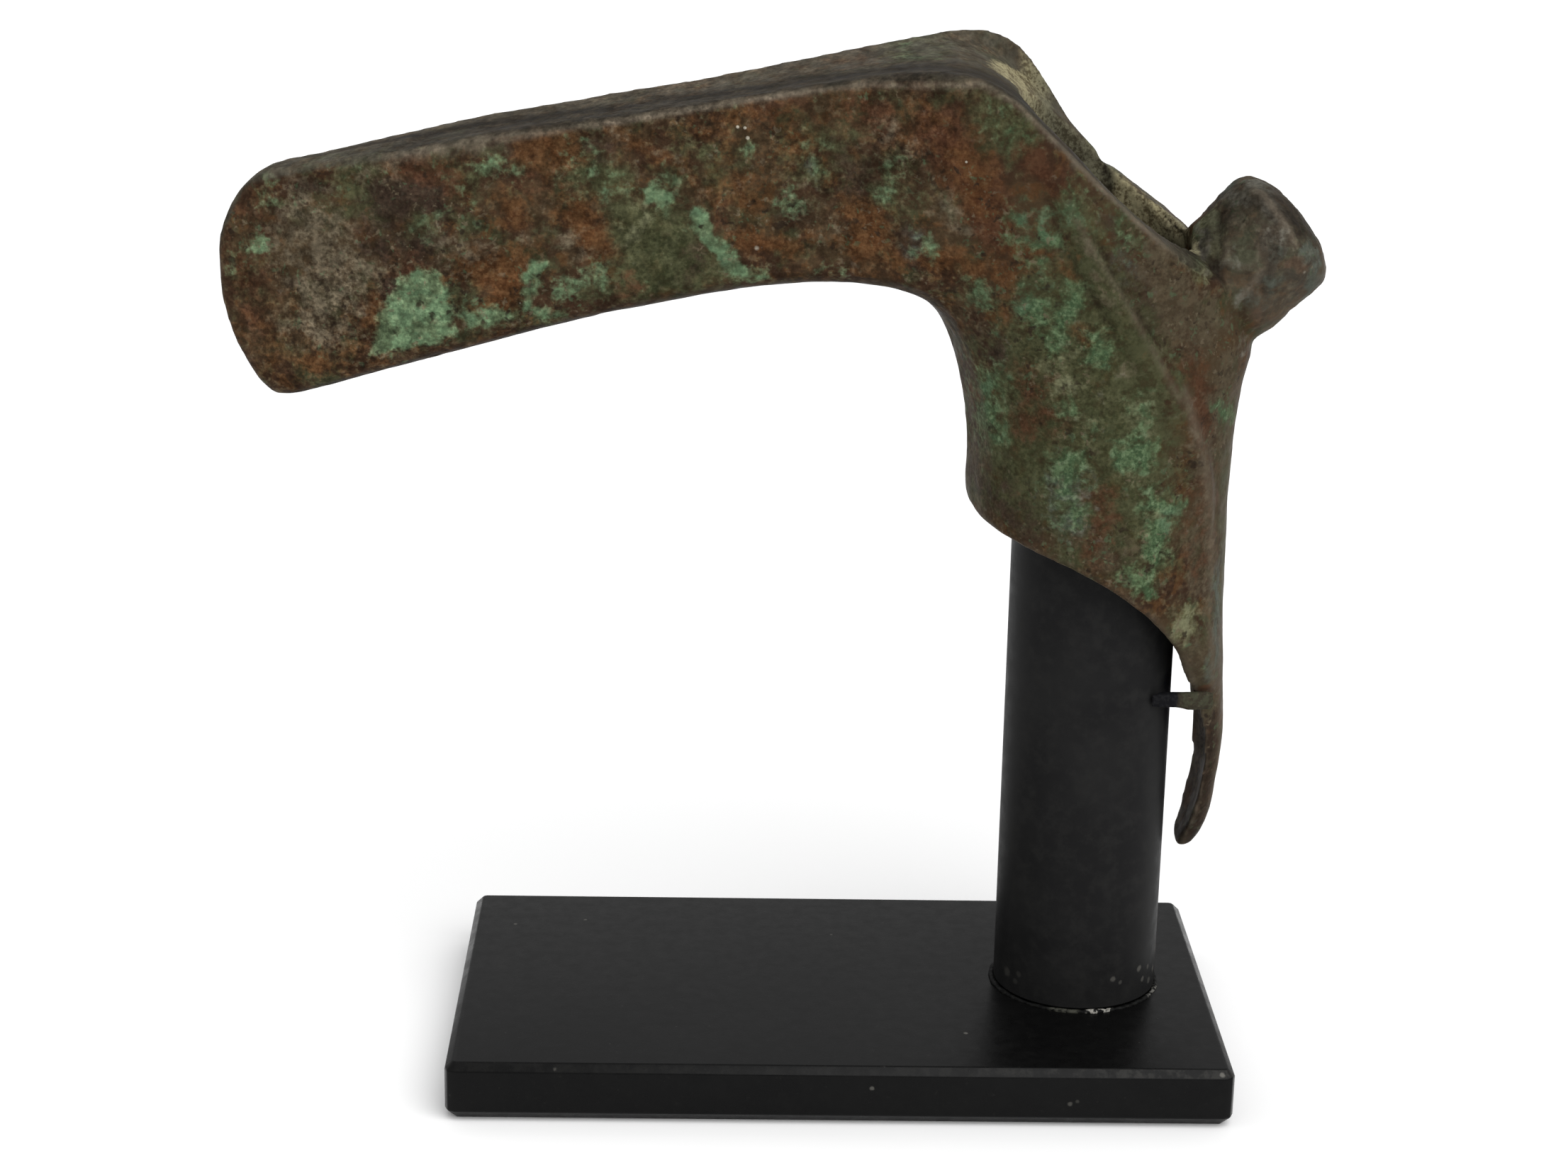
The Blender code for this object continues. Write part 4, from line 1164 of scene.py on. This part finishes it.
def bronze_ground(r, grit):
    """Brown metal oxide that wanders between purple-brown, rust and olive."""
    colour = r.mix(r.ramp(grit.coarse, 0.40, 0.60), (0.036, 0.020, 0.012), (0.050, 0.033, 0.018))
    wander = r.plus(r.noise(5.0, offset=57.0), r.around(grit.fine, 0.4))
    colour = r.mix(r.ramp(wander, 0.46, 0.66, 0.0, 0.85), colour, (0.040, 0.042, 0.021))
    wander = r.plus(r.noise(3.4, offset=77.0), r.around(grit.fine, 0.5))
    colour = r.mix(r.ramp(wander, 0.50, 0.66, 0.0, 0.75), colour, (0.068, 0.033, 0.014))
    wander = r.plus(grit.middle, r.around(grit.fine, 0.6))
    return r.mix(r.ramp(wander, 0.58, 0.72, 0.0, 0.65), colour, (0.076, 0.058, 0.034))


def add_patches(r, grit, colour):
    """Every kind of patina but the green, each speckled with its second colour."""
    for step, (name, tint, second, share) in enumerate(PATINA_TINTS):
        patchy = r.noise(2.2, 3.0, 0.6, 0.2, offset=71.0 + 23.0 * step)
        patch = r.times(broken(r, name, patchy, grit.fine), share)
        speckled = r.plus(patchy, r.around(grit.grain, 0.5))
        colour = r.mix(patch, colour, r.mix(r.ramp(speckled, 0.36, 0.64), tint, second))
    colour = r.mix(r.mask("knob", 0.26), colour, (0.104, 0.106, 0.084))
    # the wall of the shaft hole is darker
    return r.mix(r.mask("bore", 0.7), colour, (0.020, 0.017, 0.012))


def add_green(r, grit, colour):
    """Green mineral crust, from dark teal to pale yellowish green, brighter on the blade."""
    green = r.mix(r.ramp(r.plus(grit.middle, r.around(grit.grain, 0.6)), 0.38, 0.62),
                  (0.043, 0.074, 0.036), (0.078, 0.120, 0.060))
    bright = r.mix(r.ramp(grit.middle, 0.38, 0.60), (0.092, 0.124, 0.067), (0.112, 0.182, 0.100))
    green = r.mix(r.mask("blade", 0.75), green, bright)
    green = r.mix(r.ramp(grit.fine, 0.52, 0.72, 0.0, 0.6), green, (0.136, 0.182, 0.104))
    green = r.mix(r.ramp(grit.coarse, 0.52, 0.68, 0.0, 0.5), green, (0.056, 0.104, 0.062))
    patchy = r.noise(1.8, 3.0, 0.62, 0.15, offset=311.0)
    return r.mix(r.times(broken(r, "green", patchy, grit.fine, 1.3, 0.30), 0.93), colour, green)


def add_flecks(r, colour):
    """Scattered flecks that no patch covers."""
    region = r.ramp(r.noise(11.0, 2.0, 0.5, offset=111.0), 0.44, 0.60)
    for size, low, offset, tint, share in FLECKS:
        fleck = r.ramp(r.noise(size, 2.0, 0.6, 0.3, offset=offset), low, low + 0.10, 0.0, share)
        colour = r.mix(r.times(fleck, region), colour, tint)
    return colour


def add_shading(r, grit, colour):
    """The greyer top, painted shade in its valley and on edges turned away from the light, and a painted
    sheen on the socket's turned-away sides with painted light on the tongue's inside.
    """
    for name, low, high, tint in SHADED:
        share = r.times(r.mask(name), r.ramp(grit.middle, 0.3, 0.7, low, high))
        colour = r.mix(share, colour, tint)
    # a painted sheen on the socket's turned-away sides and painted light on the tongue's inside
    return r.mix(r.mask("painted_sheen", 0.7), colour, (0.106, 0.092, 0.072))


def add_mouth_crust(r, grit, colour):
    """Crust inside the mouth, yellow at its two ends."""
    inner = broken(r, "inner_crust", grit.middle, grit.fine, 0.9)
    granules = r.ramp(r.plus(grit.middle, r.around(grit.grain, 0.9)), 0.30, 0.62)
    crust = r.mix(granules, (0.046, 0.040, 0.025), (0.112, 0.106, 0.070))
    crust = r.mix(r.ramp(grit.coarse, 0.46, 0.62, 0.0, 0.35), crust, (0.046, 0.036, 0.024))
    gold = r.mix(granules, (0.105, 0.084, 0.046), (0.275, 0.246, 0.146))
    crust = r.mix(r.mask("crust_ends"), crust, gold)
    return r.mix(r.times(inner, 0.95), colour, crust)


def add_dirt_and_shade(r, grit, colour):
    """Dirt and painted shade in the hollows, less of both where the crust is yellow."""
    shade = r.times(r.mask("dirt_and_shade"), r.ramp(grit.fine, 0.30, 0.60, 0.9, 0.35))
    shade = r.times(shade, r.ramp(r.mask("crust_ends"), 0.0, 1.0, 1.0, 0.15))
    return r.mix(shade, colour, (0.014, 0.010, 0.007))


def add_grains(r, colour):
    """Loose pale grains at their own places."""
    for x, y, z, radius in GRAINS:
        low_y = y * math.cos(LEAN) - z * math.sin(LEAN)
        high_z = y * math.sin(LEAN) + z * math.cos(LEAN)
        spot = (POST_X + x, POST_Y + low_y, PLATE_TOP + DATUM_HEIGHT + high_z)
        reach = r.distance(spot, (1.0, 0.15, 1.0))
        grain = r.ramp(reach, 0.7 * radius, 1.4 * radius, 0.9, 0.0)
        colour = r.mix(grain, colour, GRAIN_COLOUR)
    return colour


def bronze_material():
    """Old bronze under brown, red and green patina, in layers from the metal outwards."""
    r = Recipe("patinated_bronze")
    grit = Grit(r)
    colour = bronze_ground(r, grit)
    colour = add_patches(r, grit, colour)
    colour = add_green(r, grit, colour)
    colour = add_flecks(r, colour)
    colour = add_shading(r, grit, colour)
    colour = add_mouth_crust(r, grit, colour)
    colour = add_dirt_and_shade(r, grit, colour)
    # rubbed metal, with painted highlights on the near rim and the knob's ridges
    wear_and_glint = r.times(r.mask("wear_and_highlight"), r.ramp(grit.middle, 0.30, 0.52, 0.4, 1.0))
    colour = r.mix(r.times(wear_and_glint, 0.90), colour, (0.132, 0.108, 0.080))
    colour = add_grains(r, colour)
    # granular light and dark over all of it
    contrast = r.mask("coarse")
    colour = r.mix(contrast, colour, granular(r, colour, grit.fine, 0.66, 1.30))
    colour = r.mix(contrast, colour, granular(r, colour, grit.grain, 0.80, 1.20))
    clumps = r.noise(3.0, 4.0, 0.65, offset=201.0)
    colour = r.mix(r.mask("blade"), colour, granular(r, colour, clumps, 0.68, 1.50))
    r.set("Base Color", colour)

    rough = r.ramp(grit.middle, 0.3, 0.7, 0.42, 0.60)
    rough = r.plus(rough, r.mask("green", 0.18))
    rough = r.plus(rough, r.mask("tan", 0.16))
    r.set("Roughness", r.math("SUBTRACT", rough, r.mask("wear_and_highlight", 0.12), clamp=True))
    r.set("Metallic", r.math("ADD", r.times(wear_and_glint, 0.40), r.mask("smooth_metal", 0.10),
                             clamp=True))
    r.set("Specular IOR Level", 0.02)
    r.set("Specular Tint", (0.35, 0.30, 0.25))

    relief = r.bump(grit.middle, 0.35, 0.30)
    relief = r.bump(r.times(grit.fine, contrast), 0.6, 0.20, relief)
    r.set("Normal", r.bump(r.times(grit.grain, contrast), 0.4, 0.08, relief))
    return r.material


CHIP_COLOUR = (0.120, 0.115, 0.102)
# colour of the painted shadow on the post
SHADOW_COLOUR = (0.0022, 0.0022, 0.0040)


def add_chips(r, colour, chips, tint):
    """Small spots of another colour in the paint: place in the frame, radius, strength."""
    for x, y, z, radius, share in chips:
        reach = r.distance((x, y, z), (1.0, 1.0, 1.0))
        reach = r.plus(reach, r.around(r.noise(0.7, 2.0, 0.5, offset=37.0), 0.9 * radius))
        colour = r.mix(r.ramp(reach, 0.5 * radius, 1.3 * radius, share, 0.0), colour, tint)
    return colour


def add_plate_edges(r, colour):
    """Scuffs with a painted highlight on the upper edge in front, and painted shade on the black lower
    edge, of the plate.
    """
    height = r.axis("Z")
    edge = r.times(r.ramp(height, PLATE_TOP - 1.10, PLATE_TOP - 0.95),
                   r.ramp(height, PLATE_TOP - 0.20, PLATE_TOP - 0.05, 1.0, 0.0))
    # the painted highlight grows towards the plate's right end
    edge = r.times(edge, r.ramp(r.axis("X"), 5.0, 46.0, 0.10, 0.50))
    scuff_and_highlight = r.ramp(r.noise(1.9, 4.0, 0.7, offset=101.0), 0.42, 0.62)
    colour = r.mix(r.times(scuff_and_highlight, edge), colour, (0.030, 0.029, 0.026))
    # painted shade on the lower edge
    return r.mix(r.ramp(height, 0.75, 1.0, 1.0, 0.0), colour, (0.0006, 0.0006, 0.0006))


def black_paint_material(name, tone, dust, roughness, gloss, chips, painted_shadow=()):
    """Black paint with a soft sheen, fine orange peel, a little dust, some chips and any spots of
    painted shadow.
    """
    r = Recipe(name)
    patches = r.noise(14.0)
    peel = r.noise(0.55, 3.0, 0.6, offset=17.0)
    film = r.noise(2.4, 5.0, 0.65, offset=43.0)
    colour = r.mix(r.ramp(patches, 0.38, 0.62), (0.86 * tone, 0.86 * tone, 0.88 * tone),
                   (1.12 * tone, 1.12 * tone, 1.12 * tone))
    colour = r.mix(r.ramp(film, 0.40, 0.72, 0.0, 0.7), colour,
                   (1.50 * tone, 1.49 * tone, 1.44 * tone))
    speck = r.times(r.ramp(r.cells(2.1, 23.0), 0.04, 0.10, 1.0, 0.0),
                    r.ramp(r.noise(3.2, 2.0, 0.5, offset=61.0), 0.60, 0.68))
    colour = r.mix(r.times(speck, 0.35 * dust), colour, (0.060, 0.058, 0.052))
    lint = r.ramp(r.noise(0.7, 4.0, 0.75, offset=83.0), 0.60, 0.74)
    colour = r.mix(r.times(lint, 0.22 * dust), colour, (0.050, 0.048, 0.042))
    colour = add_plate_edges(r, colour)
    # spots of painted shadow
    colour = add_chips(r, colour, painted_shadow, SHADOW_COLOUR)
    r.set("Base Color", add_chips(r, colour, chips, CHIP_COLOUR))
    r.set("Roughness", r.ramp(film, 0.3, 0.7, roughness - 0.05, roughness + 0.07))
    r.set("Specular IOR Level", gloss)
    r.set("Normal", r.bump(speck, 0.30, 0.08, r.bump(peel, 0.16, 0.05)))
    return r.material


def bead_material():
    """Filler under black paint, olive in front and bright where it is chipped."""
    r = Recipe("painted_filler")
    lumps = r.noise(0.9, 4.0, 0.65)
    colour = r.mix(r.ramp(lumps, 0.40, 0.65), (0.0020, 0.0020, 0.0020), (0.0090, 0.0090, 0.0085))
    streak = r.times(r.ramp(lumps, 0.36, 0.56), r.mask("streak"))
    colour = r.mix(streak, colour, (0.046, 0.046, 0.037))
    crumbs = r.ramp(r.noise(0.62, 3.0, 0.6, offset=9.0), 0.47, 0.55)
    r.set("Base Color", r.mix(r.times(crumbs, r.mask("chipped")), colour, (0.270, 0.262, 0.235)))
    r.set("Roughness", r.ramp(lumps, 0.4, 0.7, 0.55, 0.45))
    r.set("Specular IOR Level", 0.06)
    r.set("Normal", r.bump(lumps, 0.6, 0.25))
    return r.material


def prong_material():
    """Black paint at the post that gives way to brown and green further out."""
    r = Recipe("prong_paint")
    lumps = r.noise(1.1, 3.0, 0.6)
    fine = r.noise(0.5, 2.0, 0.6, offset=19.0)
    bare = r.mix(r.ramp(lumps, 0.40, 0.62), (0.030, 0.025, 0.017), (0.044, 0.044, 0.028))
    bare = r.mix(r.ramp(fine, 0.56, 0.72, 0.0, 0.5), bare, (0.070, 0.062, 0.040))
    edge = r.plus(r.mask("painted"), r.around(lumps, 0.8))
    paint = r.mix(r.ramp(fine, 0.48, 0.62), (0.007, 0.007, 0.008), (0.012, 0.012, 0.013))
    r.set("Base Color", r.mix(r.ramp(edge, 0.25, 0.75), bare, paint))
    r.set("Roughness", r.ramp(lumps, 0.3, 0.7, 0.50, 0.64))
    r.set("Specular IOR Level", 0.03)
    r.set("Normal", r.bump(fine, 0.4, 0.08, r.bump(lumps, 0.4, 0.2)))
    return r.material


def floor_material():
    r = Recipe("pale_floor")
    soft = r.noise(900.0, 2.0, 0.5)
    r.set("Base Color", r.mix(r.ramp(soft, 0.3, 0.7), (0.90, 0.90, 0.90), (0.92, 0.92, 0.92)))
    r.set("Roughness", 0.9)
    r.set("Specular IOR Level", 0.1)
    return r.material


# Studio -----------------------------------------------------------------------

FLOOR_REACH = 9000.0            # half its width
HORIZON, ZENITH = 0.38, 0.98    # strength of the dome's light
KEY_POWER, KEY_SPREAD = 2.1, math.radians(60.0)
KEY_SIDE = (0.42, -0.62, 0.85)  # where the lamp's light comes from
CAMERA_PLACE = (-18.414, -439.221, 201.157)     # the height is over the plate's top
YAW, PITCH, ROLL = 0.0217, 0.3059, 0.0195       # radians to the right, down and sideways
LENS, SENSOR = 71.943, 36.0


def add_floor():
    form = bmesh.new()
    bmesh.ops.create_grid(form, x_segments=24, y_segments=24, size=FLOOR_REACH)
    floor = add_piece("studio_floor", form)
    floor.data.materials.append(floor_material())


def add_studio():
    """Soft light: a white dome, dimmer towards the horizon, and one wide lamp."""
    world = bpy.data.worlds.new("studio_air")
    world.use_nodes = True
    tree = world.node_tree
    place = tree.nodes.new("ShaderNodeTexCoord")
    split = tree.nodes.new("ShaderNodeSeparateXYZ")
    height = tree.nodes.new("ShaderNodeMapRange")
    height.inputs["To Min"].default_value = HORIZON
    height.inputs["To Max"].default_value = ZENITH
    tree.links.new(place.outputs["Generated"], split.inputs[0])
    tree.links.new(split.outputs["Z"], height.inputs["Value"])
    tree.links.new(height.outputs["Result"], tree.nodes["Background"].inputs["Strength"])
    tree.nodes["Background"].inputs["Color"].default_value = (1.0, 1.0, 1.0, 1.0)
    bpy.context.scene.world = world
    key = bpy.data.lights.new("wide_key", "SUN")
    key.energy = KEY_POWER
    key.angle = KEY_SPREAD
    turn = Vector(KEY_SIDE).to_track_quat("Z", "Y")
    link("wide_key", key).matrix_world = turn.to_matrix().to_4x4()


def add_camera():
    """The photograph's viewpoint: a long lens, a little above, nearly square on."""
    ahead = Vector((math.sin(YAW) * math.cos(PITCH), math.cos(YAW) * math.cos(PITCH),
                    -math.sin(PITCH)))
    level = Vector((math.cos(YAW), -math.sin(YAW), 0.0))
    upright = level.cross(ahead)
    across = math.cos(ROLL) * level + math.sin(ROLL) * upright
    up = math.cos(ROLL) * upright - math.sin(ROLL) * level
    data = bpy.data.cameras.new("photo_camera")
    data.sensor_width = SENSOR
    data.sensor_fit = "HORIZONTAL"
    data.lens = LENS
    data.clip_start = 0.01
    data.clip_end = 60.0
    turn = Matrix((across, up, -ahead)).transposed().to_4x4()
    place = (Vector(CAMERA_PLACE) + Vector((0.0, 0.0, PLATE_TOP))) * MM
    camera = link("photo_camera", data)
    camera.matrix_world = Matrix.Translation(place) @ turn
    bpy.context.scene.camera = camera


# All together -----------------------------------------------------------------

def dress(piece, node, finish):
    """Give a piece its finish and its place in the model."""
    piece.data.materials.clear()
    piece.data.materials.append(finish)
    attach(piece, "root")
    if node:
        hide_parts(node)


bpy.context.scene.view_settings.view_transform = "Standard"
add_camera()
add_studio()
add_floor()
plate_paint = black_paint_material("plate_paint", tone=0.0026, dust=0.5, roughness=0.31,
                                   gloss=0.098, chips=PLATE_CHIPS)
post_paint = black_paint_material("post_paint", tone=0.0116, dust=0.1, roughness=0.46,
                                  gloss=0.04, chips=POST_CHIPS, painted_shadow=POST_SHADOW_SPOTS)
dress(build_head(), "adze_head", bronze_material())
dress(build_plate(), "base_plate", plate_paint)
dress(build_post(), "post", post_paint)
dress(build_bead(), None, bead_material())
dress(build_prong(), "prong", prong_material())
